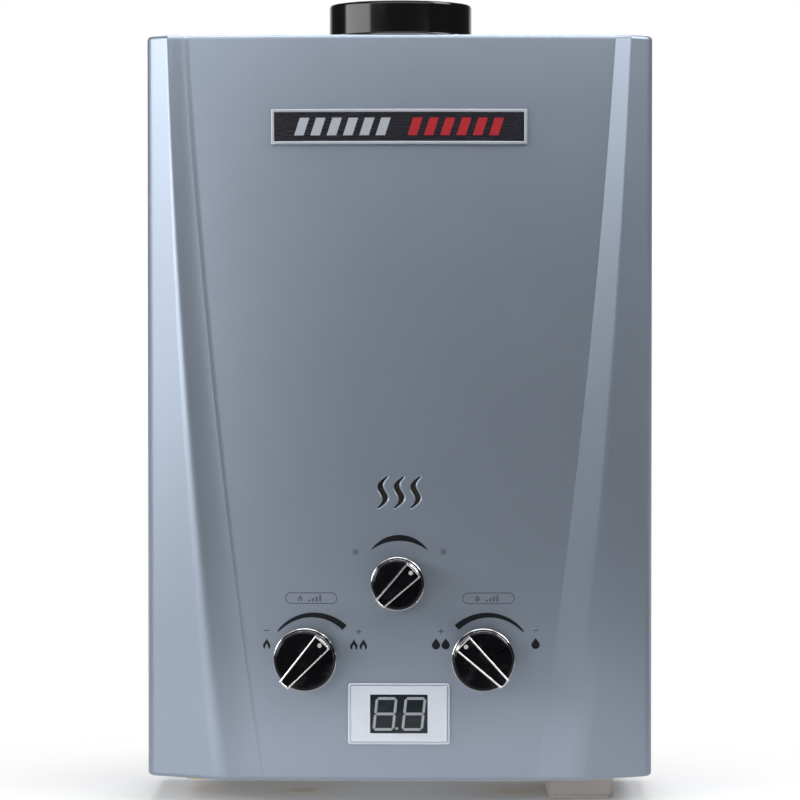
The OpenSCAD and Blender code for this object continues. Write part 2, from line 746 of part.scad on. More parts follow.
louvres = 7;
module bottom_plate() {
  w = plate_w - 2 * chassis_t - 2 * slide_gap;
  front = lip_front - 1;
  color(zinc) difference() {
    union() {
      translate([-w / 2, -front, floor_z - chassis_t]) cube([w, front - chassis_t, chassis_t]);
      translate([-w / 2, -chassis_t - chassis_t, floor_z - chassis_t]) cube([w, chassis_t, 12]);
      translate([-w / 2, -front, bottom_z + sheet_t])
        cube([w, chassis_t, floor_z - bottom_z - sheet_t]);
      for (s = [-1, 1]) translate([s * clip_x - 12, foot_y - 7, bottom_z + sheet_t])
        cube([24, -foot_y + 7 - front + chassis_t, chassis_t]);
    }
    for (c = [gas_pipe, cold_pipe_xy, [-hot_x, core_y]])
      translate([c.x, c.y, floor_z - 5]) cylinder(h = 10, d = thread_d + 2 * pass_gap);
    translate([drain_xy.x, drain_xy.y, floor_z - 5]) cylinder(h = 10, r = 8.5);
    translate([box_x, box_y, floor_z - 5])
      rounded_block(box_w + 2 * pass_gap, box_d + 2 * pass_gap, 10, box_r);
    for (i = [0:louvres - 1]) translate([-105 + i * 12, -22, floor_z - 5])
      rounded_block(4, 24, 10, 1.9);
    for (s = [-1, 1])
      translate([s * clip_x, foot_y, bottom_z]) cylinder(h = 5, r = screw_r + running);
  }
}

// Z-shaped rails that hold the core off the back plate
rail_h = 16;
module rail(z, w, reach) {
  t = chassis_t;
  translate([-w / 2, 0, z]) rotate([90, 0, 90]) linear_extrude(w) polygon([
    [-t, 0], [-t, -rail_h], [-2 * t, -rail_h], [-2 * t, -t], [-reach, -t],
    [-reach, rail_h], [-reach + t, rail_h], [-reach + t, 0]]);
}
rail_w = 110;
rail_rise = 22;
hood_rail_w = 80;
hood_rail_drop = 40;
hood_reach = 46;
module core_brackets() {
  color(zinc) {
    rail(chamber_z + rail_rise, rail_w, -core_rear);
    rail(exchanger_z + rail_rise, rail_w, -core_rear);
    rail(hood_top - hood_rail_drop, hood_rail_w, -core_y - hood_reach);
  }
}

module cover_screw() {
  cylinder(h = 9, r = screw_r);
  translate([0, 0, -1.8]) difference() {
    cylinder(h = 1.8, r1 = 2.8, r2 = 3.5);
    for (a = [0, 90]) rotate(a) cube([4, 0.9, 1.6], center = true);
  }
}
module cover_screws() {
  color(zinc) for (s = [-1, 1]) {
    translate([s * clip_x, foot_y, bottom_z]) cover_screw();
    translate([s * top_screw_x, -screw_ys, top_z]) mirror([0, 0, 1]) cover_screw();
  }
}

// Core: hood, exchanger, chamber and burner

hood_w = chamber_w - 40;
hood_d = 2 * hood_reach;
module hood_form(t) {
  hull() {
    translate([0, core_y, hood_z + (t > 0 ? -1 : 0.5)])
      cube([chamber_w + 2 * core_flange - 2 * t, hood_d - 2 * t, 1], center = true);
    translate([0, core_y, hood_top - 0.5 - t])
      cube([hood_w - 2 * t, hood_d - 2 * t, 1], center = true);
  }
}
module exhaust_hood() {
  color(zinc) difference() {
    hood_form(0);
    hood_form(copper_t);
    translate([0, core_y, hood_top - 8]) cylinder(h = 12, r = collar_r - collar_t, $fn = 128);
    for (s = [-1:1]) translate([s * 42, core_front, hood_z + 22]) cube([30, 30, 7], center = true);
  }
}

module pass_holes(x, w, r) {
  for (p = passes) along_x(x, p[0], p[1]) cylinder(h = w, r = r);
}
module exchanger_shell() {
  color(copper) difference() {
    union() {
      translate([0, core_y, exchanger_z]) duct(chamber_w, chamber_d, exchanger_h, copper_t);
      for (z = [exchanger_z, hood_z - copper_t]) translate([0, core_y, z])
        duct(chamber_w + 2 * core_flange, chamber_d + 2 * core_flange, copper_t, core_flange + copper_t);
    }
    for (s = [-1, 1]) pass_holes(s * chamber_w / 2 - 5, 10, tube_r + running);
  }
}
module fin_2d() {
  difference() {
    square([chamber_d - 2 * copper_t - 0.4, exchanger_h - 8], center = true);
    for (p = passes) translate([p[0] - core_y, p[1] - exchanger_z - exchanger_h / 2])
      circle(tube_r + 0.03);
    for (i = [-1, 1]) translate([i * pass_dy, -exchanger_h / 2 + 4]) circle(4.5);
    for (i = [-1:1]) translate([i * 2 * pass_dy, exchanger_h / 2 - 4]) circle(5);
  }
}
module exchanger_fins() {
  count = floor((chamber_w - 14) / fin_pitch);
  color(copper) for (i = [0:count])
    translate([(i - count / 2) * fin_pitch - fin_t / 2, core_y, exchanger_z + exchanger_h / 2])
      rotate([90, 0, 90]) linear_extrude(fin_t) fin_2d();
}
// Straight passes joined by half-round turns, left and right by turns
module exchanger_tubes() {
  color(copper) {
    for (i = [0:4]) let (
        near = i == 0 ? entry_x : turn_x,
        far = i == 4 ? entry_x : turn_x,
        left = i % 2 == 0 ? far : near,
        right = i % 2 == 0 ? near : far)
      straight([-left, passes[i][0], passes[i][1]], [right, passes[i][0], passes[i][1]], tube_r, tube_in);
    for (i = [0:3]) let (
        s = i % 2 == 0 ? -1 : 1,
        a = passes[i],
        b = passes[i + 1],
        u = (b - a) / norm(b - a))
      multmatrix([
          [0, s, 0, s * turn_x], [u[0], 0, -s * u[1], (a[0] + b[0]) / 2],
          [u[1], 0, s * u[0], (a[1] + b[1]) / 2]])
        rotate_extrude(angle = 180) translate([norm(b - a) / 2, 0]) ring_2d(tube_r, tube_in);
  }
}
sight = [64, 24];
// The chamber's corners are bent round the same centres as the coil's bends
chamber_r = bend_r - coil_reach;
module chamber_2d(t) { rounded_rect(chamber_w - 2 * t, chamber_d - 2 * t, chamber_r - t); }
module combustion_chamber() {
  color(copper) difference() {
    union() {
      translate([0, core_y, chamber_z]) linear_extrude(chamber_h) difference() {
        chamber_2d(0);
        chamber_2d(copper_t);
      }
      translate([0, core_y, exchanger_z - copper_t]) linear_extrude(copper_t) difference() {
        square([chamber_w + 2 * core_flange, chamber_d + 2 * core_flange], center = true);
        chamber_2d(copper_t);
      }
      for (s = [-1, 1]) {
        // Bottom flange, front and rear
        translate([-chamber_w / 2, core_y + s * (chamber_d / 2 + 1.5) - 2, chamber_z])
          cube([chamber_w, 4, copper_t]);
        // Lugs that the coil rests on
        translate([s * 50 - 3, core_front - 4, coil_z - tube_r - 4]) cube([6, 4.5, 3]);
      }
    }
    translate([-sight.x / 2, core_front - 5, chamber_z + 3]) cube([sight.x, 10, sight.y]);
  }
}
module chamber_coil() {
  color(copper) bent_tube([
    [coil_x, rod_y, coil_start_z], [coil_x, rod_y, coil_z], [coil_x, coil_rear, coil_z],
    [-coil_x, coil_rear, coil_z], [-coil_x, coil_front, coil_z], [riser_x, coil_front, coil_z],
    [riser_x, coil_front, passes[0][1]], [riser_x, passes[0][0], passes[0][1]],
    [entry_x, passes[0][0], passes[0][1]]], tube_r, tube_in, bend_r);
}

// One burner bar: a flat diffuser fed by a flared mouth, with cross slots along its top
bar_slots = 11;
bar_l = 62;
module burner_bar() {
  rear = mouth_y + 2 + bar_l;
  translate([-bar_w / 2, 0, 0]) rotate([90, 0, 90]) linear_extrude(bar_w) polygon([
    [mouth_y + 4, manifold_z - 4], [mouth_y + 2, burner_top - 6], [mouth_y + 4, burner_top - 3],
    [rear - 2, burner_top - 3], [rear, burner_top - 6], [rear - 6, manifold_z - 2],
    [rear - 26, manifold_z - 6], [mouth_y + 10, manifold_z - 6]]);
  translate([0, mouth_y + 5 + bar_l / 2 - 3, burner_top - 3]) linear_extrude(2) difference() {
    square([bar_w - 2, bar_l - 6], center = true);
    for (i = [0:bar_slots - 1]) translate([0, (i - (bar_slots - 1) / 2) * 4.8])
      square([bar_w - 4, 1.4], center = true);
  }
  facing(0, mouth_y + 8, manifold_z) difference() {
    union() {
      cylinder(h = 8, r = 5.5);
      translate([0, 0, 3]) cylinder(h = 5, r1 = 5.5, r2 = 7.5);
    }
    translate([0, 0, 1]) cylinder(h = 8, r = 4.6);
    translate([0, 0, 3.5]) cylinder(h = 4.6, r1 = 4.6, r2 = 6.9);
  }
}
function bar_x(i) = (i - (bars - 1) / 2) * bar_pitch;
module burner_bars() {
  color(stainless) for (i = [0:bars - 1]) translate([bar_x(i), 0, 0]) burner_bar();
}
// Spark and sense rods pass between the bars
probe_z = burner_top - 8;
probe_x = bar_pitch;
probe_r = 3.5;
module burner_frame() {
  w = bars_w;
  d = tray_rear - tray_front;
  h = 26;
  mid_y = (tray_rear + tray_front) / 2;
  color(stainless) difference() {
    union() {
      translate([0, mid_y, burner_top - h + 1]) duct(w, d, h, 1);
      translate([0, mid_y, burner_top]) linear_extrude(1) difference() {
        square([chamber_w - 2, d + 4], center = true);
        square([w - 2, d - 2], center = true);
      }
      translate([-w / 2, tray_rear - 4, burner_top - h + 1]) cube([w, 4, 1]);
      for (x = [-1:1]) translate([x * bar_pitch * 3 - 3, manifold_y + manifold_r + 0.02, manifold_z - 4])
        cube([6, tray_front - manifold_y - manifold_r + 0.5, 8]);
    }
    for (i = [0:bars - 1])
      facing(bar_x(i), tray_front + 2, manifold_z) cylinder(h = 4, r = 6.9);
    for (s = [-1, 1]) facing(s * probe_x, tray_front + 2, probe_z)
      cylinder(h = 4, r = probe_r + running);
  }
}

// Gas side

module gas_manifold() {
  reach = chamber_w / 2 - 2;
  color(cast_alloy) difference() {
    union() {
      along_x(-reach, manifold_y, manifold_z) cylinder(h = 2 * reach, r = manifold_r);
      translate([season_x, manifold_y, season_z + season_block.z / 2])
        cylinder(h = neck_gap + manifold_r, r = 6);
      for (i = [0:bars - 1]) facing(bar_x(i), manifold_y + manifold_r + jet_l - 2, manifold_z)
        cylinder(h = manifold_r + jet_l - 2, r = 3.6, $fn = 6);
    }
    along_x(-reach + 3, manifold_y, manifold_z) cylinder(h = 2 * reach - 6, r = manifold_r - 1.5);
    for (i = [0:bars - 1]) facing(bar_x(i), manifold_y + 30, manifold_z) cylinder(h = 30, r = 0.6);
    translate([season_x, manifold_y, season_z + season_block.z / 2 - 1])
      cylinder(h = neck_gap + 4, r = 4);
  }
}
module season_valve() {
  mid_y = season_front + season_block.y / 2;
  color(cast_alloy) difference() {
    union() {
      translate([season_x, mid_y, season_z - season_block.z / 2])
        rounded_block(season_block.x, season_block.y, season_block.z, 4);
      facing(season_x, season_front + 1, season_z) cylinder(h = 5, r = 8);
    }
    spindle_bore(season_x, season_z, season_front);
    for (x = [-1, 1], z = [-1, 1])
      facing(season_x + x * 12, season_front + 5, season_z + z * 7) cylinder(h = 10, r = 1.3);
  }
}
module gas_feed_pipe() {
  left = season_x - season_block.x / 2;
  color(cast_alloy) bent_tube([
    [gas_port.x, gas_port.y, block_top + gas_port_rise], [gas_port.x, gas_port.y, season_z],
    [left, gas_port.y, season_z]], feed_r, feed_r - 1, feed_bend);
}
module gas_valve_body() {
  mid = [gas_mid.x, gas_mid.y, block_bottom];
  front = gas_mid.y - gas_block.y / 2;
  rear = gas_mid.y + gas_block.y / 2;
  color(cast_alloy) difference() {
    union() {
      translate(mid) rounded_block(gas_block.x, gas_block.y, gas_block.z, 7);
      facing(flame_x, front + 1, valve_z) cylinder(h = front + 1 - boss_front, r = 9);
      translate([gas_port.x, gas_port.y, block_top - 1]) cylinder(h = gas_port_rise + 1, r = 8);
      translate([gas_pipe.x, gas_pipe.y, block_bottom - 6]) cylinder(h = 7, r = 12);
      along_x(gas_right - 1, rod_y, valve_z) cylinder(h = 3, r = 7);
      // Bolted cover on the left, with a bead round it
      translate([gas_mid.x - gas_block.x / 2 - 4, gas_mid.y, valve_z]) rotate([90, 0, 90])
        linear_extrude(5) rounded_rect(gas_block.y - 12, gas_block.z - 8, 5);
    }
    spindle_bore(flame_x, valve_z, boss_front);
    along_x(gas_right - 12, rod_y, valve_z) cylinder(h = 20, r = rod_r + running);
    translate([gas_port.x, gas_port.y, block_top - 6]) cylinder(h = 30, r = feed_r - 1);
    translate([gas_pipe.x, gas_pipe.y, block_bottom - 8]) cylinder(h = 14, d = fitting_bore);
    for (y = [-1, 1], z = [-1, 1])
      along_x(gas_mid.x - gas_block.x / 2 - 6, gas_mid.y + y * 16, valve_z + z * 15)
        cylinder(h = 8, r = 1.4);
    facing(gas_mid.x, rear + 1, valve_z) cylinder(h = 7, r = 6 + running);
  }
}
solenoid_r = 13;
solenoid_l = 25;
module gas_solenoid() {
  rear = gas_mid.y + gas_block.y / 2;
  color([0.25, 0.26, 0.28]) facing(gas_mid.x, rear, valve_z) {
    cylinder(h = 5, r = 6);
    translate([0, 0, -2]) cylinder(h = 2, r = solenoid_r + 2);
    translate([0, 0, -2 - solenoid_l]) cylinder(h = solenoid_l, r = solenoid_r);
    translate([-5, solenoid_r - 2, -14]) cube([10, 5, 8]);
  }
}

// Neck in which a fitting's thread runs out below the floor plate
neck_l = 0.5;
neck_r = thread_d / 2 - 0.6;
// Pipe fitting seated on the floor plate, threaded below it
module fitting(x, y, top) {
  translate([x, y, 0]) difference() {
    union() {
      translate([0, 0, floor_z - chassis_t - thread_l]) cylinder(h = thread_l - neck_l, d = thread_d);
      translate([0, 0, floor_z - chassis_t - thread_l]) cylinder(h = thread_l + chassis_t + 1, r = neck_r);
      translate([0, 0, floor_z]) cylinder(h = fitting_flange_t, r = fitting_flange_r);
      translate([0, 0, floor_z]) cylinder(h = top - floor_z, r = 10);
    }
    translate([0, 0, floor_z - chassis_t - thread_l - 1])
      cylinder(h = top - floor_z + thread_l + chassis_t + 2, d = fitting_bore);
  }
}
module gas_inlet() { color(brass) fitting(gas_pipe.x, gas_pipe.y, block_bottom - 6); }
module cold_inlet() { color(brass) fitting(cold_pipe_xy.x, cold_pipe_xy.y, block_bottom - 5); }
hot_top = floor_z + 16;
module hot_outlet() { color(brass) fitting(-hot_x, core_y, hot_top); }
// Cup of fine mesh that drops into the cold inlet
module inlet_filter() {
  r = fitting_bore / 2 - 0.1;
  color(zinc) translate([cold_pipe_xy.x, cold_pipe_xy.y, floor_z - chassis_t - thread_l + 2])
    difference() {
      cylinder(h = filter_l, r = r);
      translate([0, 0, -1]) cylinder(h = filter_l, r = r - 0.8);
      for (a = [0:30:150], z = [3:3:filter_l - 3]) rotate(a) translate([0, 0, z])
        cube([3 * r, 1.6, 1.6], center = true);
    }
}

// Water side

module water_valve_body() {
  front = water_mid.y - water_block.y / 2;
  face = membrane_x + membrane_t / 2;
  color(brass) difference() {
    union() {
      translate([water_mid.x, water_mid.y, block_bottom])
        rounded_block(water_block.x, water_block.y, water_block.z, 9);
      along_x(face, rod_y, valve_z) cylinder(h = water_left - face + 1, r = housing_r);
      facing(water_x, front + 1, valve_z) cylinder(h = front + 1 - boss_front, r = 9);
      translate([outlet_xy.x, outlet_xy.y, water_top - 1]) cylinder(h = outlet_rise + 1, r = 9);
      translate([cold_pipe_xy.x, cold_pipe_xy.y, block_bottom - 5]) cylinder(h = 6, r = 11);
      translate([drain_xy.x, drain_xy.y, floor_z + 3]) cylinder(h = block_bottom - floor_z - 2, r = 7.5);
    }
    spindle_bore(water_x, valve_z, boss_front);
    along_x(face - 1, rod_y, valve_z) cylinder(h = 9, r = 26);
    translate([outlet_xy.x, outlet_xy.y, water_top - 6]) cylinder(h = 20, r = tube_in);
    translate([cold_pipe_xy.x, cold_pipe_xy.y, block_bottom - 8]) cylinder(h = 14, d = fitting_bore);
    translate([drain_xy.x, drain_xy.y, floor_z]) cylinder(h = 17, r = 4 + running);
    for (a = [0:60:300]) along_x(face - 1, rod_y, valve_z) rotate(a) translate([30, 0, 0])
      cylinder(h = 8, r = screw_r + running);
  }
}
cover_plate_t = 5;
dome_l = 10;
module diaphragm_cover() {
  face = membrane_x - membrane_t / 2;
  color(brass) difference() {
    union() {
      along_x(face - cover_plate_t, rod_y, valve_z) cylinder(h = cover_plate_t, r = housing_r);
      along_x(face - cover_plate_t - dome_l, rod_y, valve_z)
        cylinder(h = dome_l, r1 = 20, r2 = 26.5);
      along_x(face - cover_plate_t - dome_l - 3, rod_y, valve_z) cylinder(h = 4, r = 7);
    }
    along_x(face - cover_plate_t - 1.5, rod_y, valve_z) cylinder(h = cover_plate_t + 3, r = 23);
    along_x(face - cover_plate_t - dome_l - 5, rod_y, valve_z) cylinder(h = 20, r = rod_r + running);
  }
  // Six screws that clamp the membrane
  color(zinc) for (a = [0:60:300])
    along_x(face - cover_plate_t - 2.5, rod_y, valve_z) rotate(a) translate([30, 0, 0]) {
      cylinder(h = 2.5, r = 3.2, $fn = 6);
      cylinder(h = 12, r = screw_r);
    }
}
// Rubber membrane: clamped rim with screw holes, and the rolling fold inside it
module diaphragm() {
  color([0.12, 0.12, 0.13]) along_x(membrane_x - membrane_t / 2, rod_y, valve_z) difference() {
    union() {
      difference() {
        cylinder(h = membrane_t, r = housing_r - 0.3);
        translate([0, 0, -1]) cylinder(h = 5, r = piston_r + 0.3);
      }
      rotate_extrude() translate([piston_r + 2, membrane_t]) difference() {
        circle(1.6);
        circle(0.8);
        translate([-5, -10]) square([10, 9.8]);
      }
    }
    for (a = [0:60:300]) rotate(a) translate([30, 0, -1]) cylinder(h = 5, r = screw_r + 0.2);
  }
}
collar_x = gas_right + 24;
rod_collar = 3;
module push_rod() {
  start = gas_right - 8;
  color(stainless) {
    along_x(start, rod_y, valve_z) cylinder(h = membrane_x + 4 - start, r = rod_r);
    along_x(collar_x, rod_y, valve_z) cylinder(h = rod_collar, r = 8);
    along_x(membrane_x - 2.6, rod_y, valve_z) cylinder(h = 5, r = piston_r);
  }
}
// Return spring between the gas valve and the rod's collar, a true helix of round wire
wire_r = 0.55;
spring_r = 4;
spring_turns = 7;
spring_sides = 6;
spring_steps = 16;
module return_spring() {
  start = gas_right + 2 + wire_r + 0.1;
  length = collar_x - 2 * wire_r - 0.3 - gas_right - 2;
  steps = spring_turns * spring_steps;
  pts = [for (i = [0:steps], k = [0:spring_sides - 1]) let (
      a = 360 * i / spring_steps, b = 360 * k / spring_sides, r = spring_r + wire_r * cos(b))
    [start + length * i / steps + wire_r * sin(b), rod_y + r * cos(a), valve_z + r * sin(a)]];
  skin = [for (i = [0:steps - 1], k = [0:spring_sides - 1]) let (
      p = i * spring_sides + k, q = i * spring_sides + (k + 1) % spring_sides)
    each [[p, p + spring_sides, q + spring_sides], [p, q + spring_sides, q]]];
  color(bright_chrome) polyhedron(pts, concat(skin, [
    [for (k = [0:spring_sides - 1]) k],
    [for (k = [spring_sides - 1:-1:0]) steps * spring_sides + k]]));
}
module cold_pipe() {
  run_z = coil_start_z - nut_l / 2 - bend_r;
  color(copper) bent_tube([
    [outlet_xy.x, rod_y, water_top + outlet_rise], [outlet_xy.x, rod_y, run_z],
    [coil_x, rod_y, run_z], [coil_x, rod_y, coil_start_z]], tube_r, tube_in, bend_r);
}
module hot_pipe() {
  out = passes[4];
  low = hot_top + nut_l + bend_r + 6;
  color(copper) bent_tube([
    [-entry_x, out[0], out[1]], [-hot_x, out[0], out[1]], [-hot_x, out[0], low],
    [-hot_x, core_y, low], [-hot_x, core_y, hot_top]], tube_r, tube_in, bend_r);
}
// Union nut whose middle is at height z
module union_nut(x, y, z, r_in) {
  translate([x, y, z - nut_l / 2]) difference() {
    cylinder(h = nut_l, r = 13, $fn = 6);
    translate([0, 0, -1]) cylinder(h = nut_l + 2, r = r_in + running);
  }
}
module union_nuts() {
  color(brass) {
    union_nut(coil_x, rod_y, coil_start_z, tube_r);
    union_nut(-hot_x, core_y, hot_top + nut_l / 2 + 0.2, tube_r);
  }
}
module drain_plug() {
  color(gloss_black) translate([drain_xy.x, drain_xy.y, 0]) {
    translate([0, 0, floor_z + 1]) cylinder(h = 12, r = 4);
    translate([0, 0, floor_z + 1]) cylinder(h = 2, r = 7.5);
    translate([0, 0, floor_z - 9]) difference() {
      cylinder(h = 10, r = 7.5);
      for (a = [0:30:330]) rotate(a) translate([8.2, 0, -1]) cylinder(h = 8, r = 1.2);
    }
  }
}

// Flow switch

bracket_t = 1.5;
pivot_x = collar_x - 7;
pivot_z = block_top - 5;
switch_size = [20, 8, 11];
lever_w = 4;
module switch_bracket() {
  left = gas_right - 12;
  right = collar_x + 3;
  color(zinc) difference() {
    union() {
      translate([left, rod_y - 8, block_top]) cube([right - left, 16, bracket_t]);
      for (s = [-1, 1]) translate([pivot_x - 4, rod_y + s * (lever_w / 2 + 1.3) - 0.7, pivot_z - 3])
        cube([8, 1.4, block_top - pivot_z + 4]);
      facing(pivot_x, rod_y + lever_w / 2 + 3.5, pivot_z) cylinder(h = lever_w + 7, r = 1);
    }
    translate([pivot_x - 9.5, rod_y - 2.5, block_top - 1]) cube([6, 5, 5]);
  }
}
module microswitch() {
  color(gloss_black) {
    translate([pivot_x - 14, rod_y - switch_size.y / 2, block_top + bracket_t]) cube(switch_size);
    for (i = [0:2]) translate([pivot_x - 11 + i * 6, rod_y - 1.5, block_top + bracket_t + switch_size.z])
      cube([0.8, 3, 5]);
  }
  color([0.7, 0.15, 0.1]) translate([pivot_x - 7.5, rod_y - 1, block_top - 0.6])
    cube([2, 2, bracket_t + 0.6]);
}
// Bell crank: its tip leans on the rod's collar, and its toe lifts to the switch's button
tip_z = valve_z + 5.3 - pivot_z;
module switch_lever() {
  color(stainless) translate([pivot_x, rod_y + lever_w / 2, pivot_z]) rotate([90, 0, 0])
    linear_extrude(lever_w) difference() {
      union() {
        circle(2.8);
        polygon([[0, 1.2], [0, 2.6], [-8, 2.4], [-8, 1.2]]);
        polygon([[1.1, -1.2], [-0.6, -2.4], [5.2, tip_z], [6.8, tip_z], [6.8, tip_z + 2], [2.6, 0]]);
      }
      circle(1 + running);
    }
}

// Ignition and safety

controller = [30, 54, 90];
controller_gap = 5;
controller_at = [half_w - controller_gap - controller.x, -62, chamber_z - 5];
module ignition_controller() {
  color([0.85, 0.85, 0.82]) {
    translate(controller_at + [controller.x / 2, controller.y / 2, 0])
      rounded_block(controller.x, controller.y, controller.z, 2.5);
    for (z = [10, controller.z - 22]) translate(controller_at + [8, controller.y - 1, z])
      cube([14, -controller_at.y - controller.y - chassis_t + 1, 12]);
  }
}
// Ceramic insulator with a rod that turns up over the burner
module probe(x, reach) {
  front = tray_front - 14;
  rod = 1.1;
  color([0.93, 0.92, 0.88]) difference() {
    facing(x, tray_front + 6, probe_z) {
      cylinder(h = 16, r = probe_r);
      translate([0, 0, 7]) cylinder(h = 4, r = probe_r + 1.6);
    }
    facing(x, tray_front + 7, probe_z) cylinder(h = 40, r = rod + 0.02);
  }
  color(stainless) bent_tube([
    [x, front, probe_z], [x, tray_front + reach, probe_z], [x, tray_front + reach, burner_top + 5]],
    rod, 0, 3);
}
module ignition_electrode() { probe(-probe_x, 16); }
module flame_sensor() { probe(probe_x, 20); }
module overheat_switch() {
  facing(44, core_front, exchanger_z + 28) {
    color(stainless) cylinder(h = 2, r = 9);
    color(gloss_black) translate([0, 0, 2]) cylinder(h = 6, r = 7);
    color(stainless) for (s = [-1, 1]) translate([s * 3.5 - 0.4, -2, 8]) cube([0.8, 4, 5]);
  }
}

// Battery box

module battery_box() {
  color([0.6, 0.57, 0.54]) difference() {
    union() {
      translate([box_x, box_y, box_z]) rounded_block(box_w, box_d, box_roof + box_t - box_z, box_r);
      translate([box_x, box_y, floor_z]) rounded_block(box_w + 8, box_d + 6, 2, box_r);
      // Two hinge ears at the rear edge
      for (s = [-1, 1]) translate([box_x + s * 12 - 3, -box_back - 1, box_z + 0.5])
        cube([6, hinge_y + hinge_r + box_back + 1, 6]);
      for (s = [-1, 1]) along_x(box_x + s * 12 - 3, hinge_y, hinge_z) cylinder(h = 6, r = hinge_r);
      for (s = [-1, 1]) translate([box_x + s * 12 - 3, hinge_y - hinge_r, hinge_z])
        cube([6, 2 * hinge_r, box_z + 2 - hinge_z]);
    }
    translate([box_x, box_y, box_z - 1])
      rounded_block(box_w - 2 * box_t, box_d - 2 * box_t, box_roof - box_z + 1, box_r - box_t / 2);
    for (s = [-1, 1]) along_x(box_x + s * 12 - 5, hinge_y, hinge_z) cylinder(h = 10, r = 1 + running);
    // Pockets inside the front wall for the door's latches
    for (s = [-1, 1]) translate([box_x + s * latch_x - latch_w / 2 - 0.5, box_y - box_d / 2 + box_t / 2, box_z + 3])
      cube([latch_w + 1, box_t, 2.5]);
  }
}
// The door's plate, with its long edges rounded below
module door_plate() {
  t = door_t - 0.1;
  intersection() {
    translate([box_x, box_y, door_z]) rounded_block(box_w, box_d, t, box_r);
    union() {
      for (s = [-1, 1]) facing(box_x + s * (box_w / 2 - t), 0, door_z + t) cylinder(h = box_back + box_d + 1, r = t);
      translate([box_x - box_w / 2 + t, -box_back - box_d - 1, door_z]) cube([box_w - 2 * t, box_d + 2, t]);
    }
  }
}
module battery_door() {
  color([0.6, 0.57, 0.54]) {
    door_plate();
    // Knuckle between the ears, and its pin
    along_x(box_x - 8.5, hinge_y, hinge_z) cylinder(h = 17, r = hinge_r);
    translate([box_x - 8.5, -box_back - 4, door_z]) cube([17, hinge_y + box_back + 4, door_t - 0.1]);
    along_x(box_x - 14.5, hinge_y, hinge_z) cylinder(h = 29, r = 1);
    // Two latch hooks behind the front wall, where the round cell leaves room
    for (s = [-1, 1]) translate([box_x + s * latch_x - latch_w / 2, box_y - box_d / 2 + box_t, 0]) {
      translate([0, 0.6, door_z + 1]) cube([latch_w, 1.2, 6]);
      translate([0, 0.4, box_z + 3.4]) cube([latch_w, 1.2, 1.1]);
    }
  }
  // Strip that joins the two cells
  color(bright_chrome) translate([box_x - 5, box_y - 24, door_z + door_t - 0.1])
    cube([10, 48, 0.6]);
}
cell_z = box_z + 0.7;
// Two cells, one up and one down
module cell_form() {
  rotate_extrude() polygon([
    [0, 0], [cell_d / 2 - 2, 0], [cell_d / 2, 1.2], [cell_d / 2, cell_h - 4],
    [cell_d / 2 - 2, cell_h - 2.4], [4.6, cell_h - 2.4], [4.6, cell_h - 0.6], [4, cell_h], [0, cell_h]]);
}
module batteries() {
  color([0.2, 0.35, 0.5]) {
    translate([box_x, cell_y[0], cell_z]) cell_form();
    translate([box_x, cell_y[1], cell_z + cell_h]) mirror([0, 0, 1]) cell_form();
  }
}
// Button contact over one cell, sprung cone of wire over the other
cone_turns = 3;
module battery_contacts() {
  gap = box_roof - cell_z - cell_h;
  color(bright_chrome) {
    for (y = cell_y) translate([box_x - 6, y - 6, box_roof - 0.6]) cube([12, 12, 0.6]);
    translate([box_x, cell_y[0], box_roof - gap + 0.1]) cylinder(h = gap - 0.6, r1 = 3, r2 = 5);
    sweep([for (i = [0:cone_turns * 16]) let (t = i / cone_turns / 16, r = 7.5 - 3.5 * t)
      [box_x + r * cos(360 * cone_turns * t), cell_y[1] + r * sin(360 * cone_turns * t),
        box_roof - 0.7 - (gap - 1.5) * t]], 0.5, 6);
  }
}

// Leads, each a round wire along its real route between two fixed ends
lead_r = 1.1;
lead_soft = 8;
lead_gap = 0.1;
module lead(p) { sweep(softened(p, lead_soft), lead_r, 8); }
module wiring_harness() {
  under = controller_at.z;
  foot = [controller_at.x, controller_at.y, under];
  spark_y = tray_front - 22;
  probe_end = tray_front - 14 - lead_gap;
  color([0.15, 0.15, 0.16]) {
    lead([[box_x, cell_y[1], box_roof + box_t], [box_x, cell_y[1], box_roof + 16],
      foot + [20, 20, -30], foot + [20, 20, 0]]);
    lead([[gas_mid.x, rod_y + 37, valve_z + solenoid_r + 4], [gas_mid.x, rod_y + 37, block_top + 14],
      foot + [8, 40, -26], foot + [8, 40, 0]]);
    lead([[-probe_x, probe_end, probe_z], [-probe_x, spark_y, probe_z],
      [coil_x - 8, spark_y, probe_z + 4], [coil_x + 14, foot.y - 14, probe_z + 6],
      foot + [12, -8, 14], foot + [12, -lead_gap, 14]]);
    lead([[probe_x, probe_end, probe_z], [probe_x, spark_y + 5, probe_z],
      [coil_x - 8, spark_y + 5, probe_z + 9], [coil_x + 14, foot.y - 10, probe_z + 12],
      foot + [16, -7, 24], foot + [16, -lead_gap, 24]]);
  }
}

front_cover();
flue_collar();
badge_frame();
badge_inlay();
flame_window();
display_bezel();
display_lens();
display_module();
display_board();
flame_knob();
flame_knob_trim();
flame_spindle();
water_knob();
water_knob_trim();
water_spindle();
season_knob();
season_knob_trim();
season_spindle();
back_plate();
bottom_plate();
core_brackets();
cover_screws();
exhaust_hood();
exchanger_shell();
exchanger_fins();
exchanger_tubes();
combustion_chamber();
chamber_coil();
burner_bars();
burner_frame();
gas_manifold();
season_valve();
gas_feed_pipe();
gas_valve_body();
gas_solenoid();
gas_inlet();
water_valve_body();
diaphragm_cover();
diaphragm();
push_rod();
return_spring();
cold_inlet();
inlet_filter();
cold_pipe();
hot_pipe();
hot_outlet();
union_nuts();
drain_plug();
switch_bracket();
microswitch();
switch_lever();
ignition_controller();
ignition_electrode();
flame_sensor();
overheat_switch();
battery_box();
battery_door();
batteries();
battery_contacts();
wiring_harness();
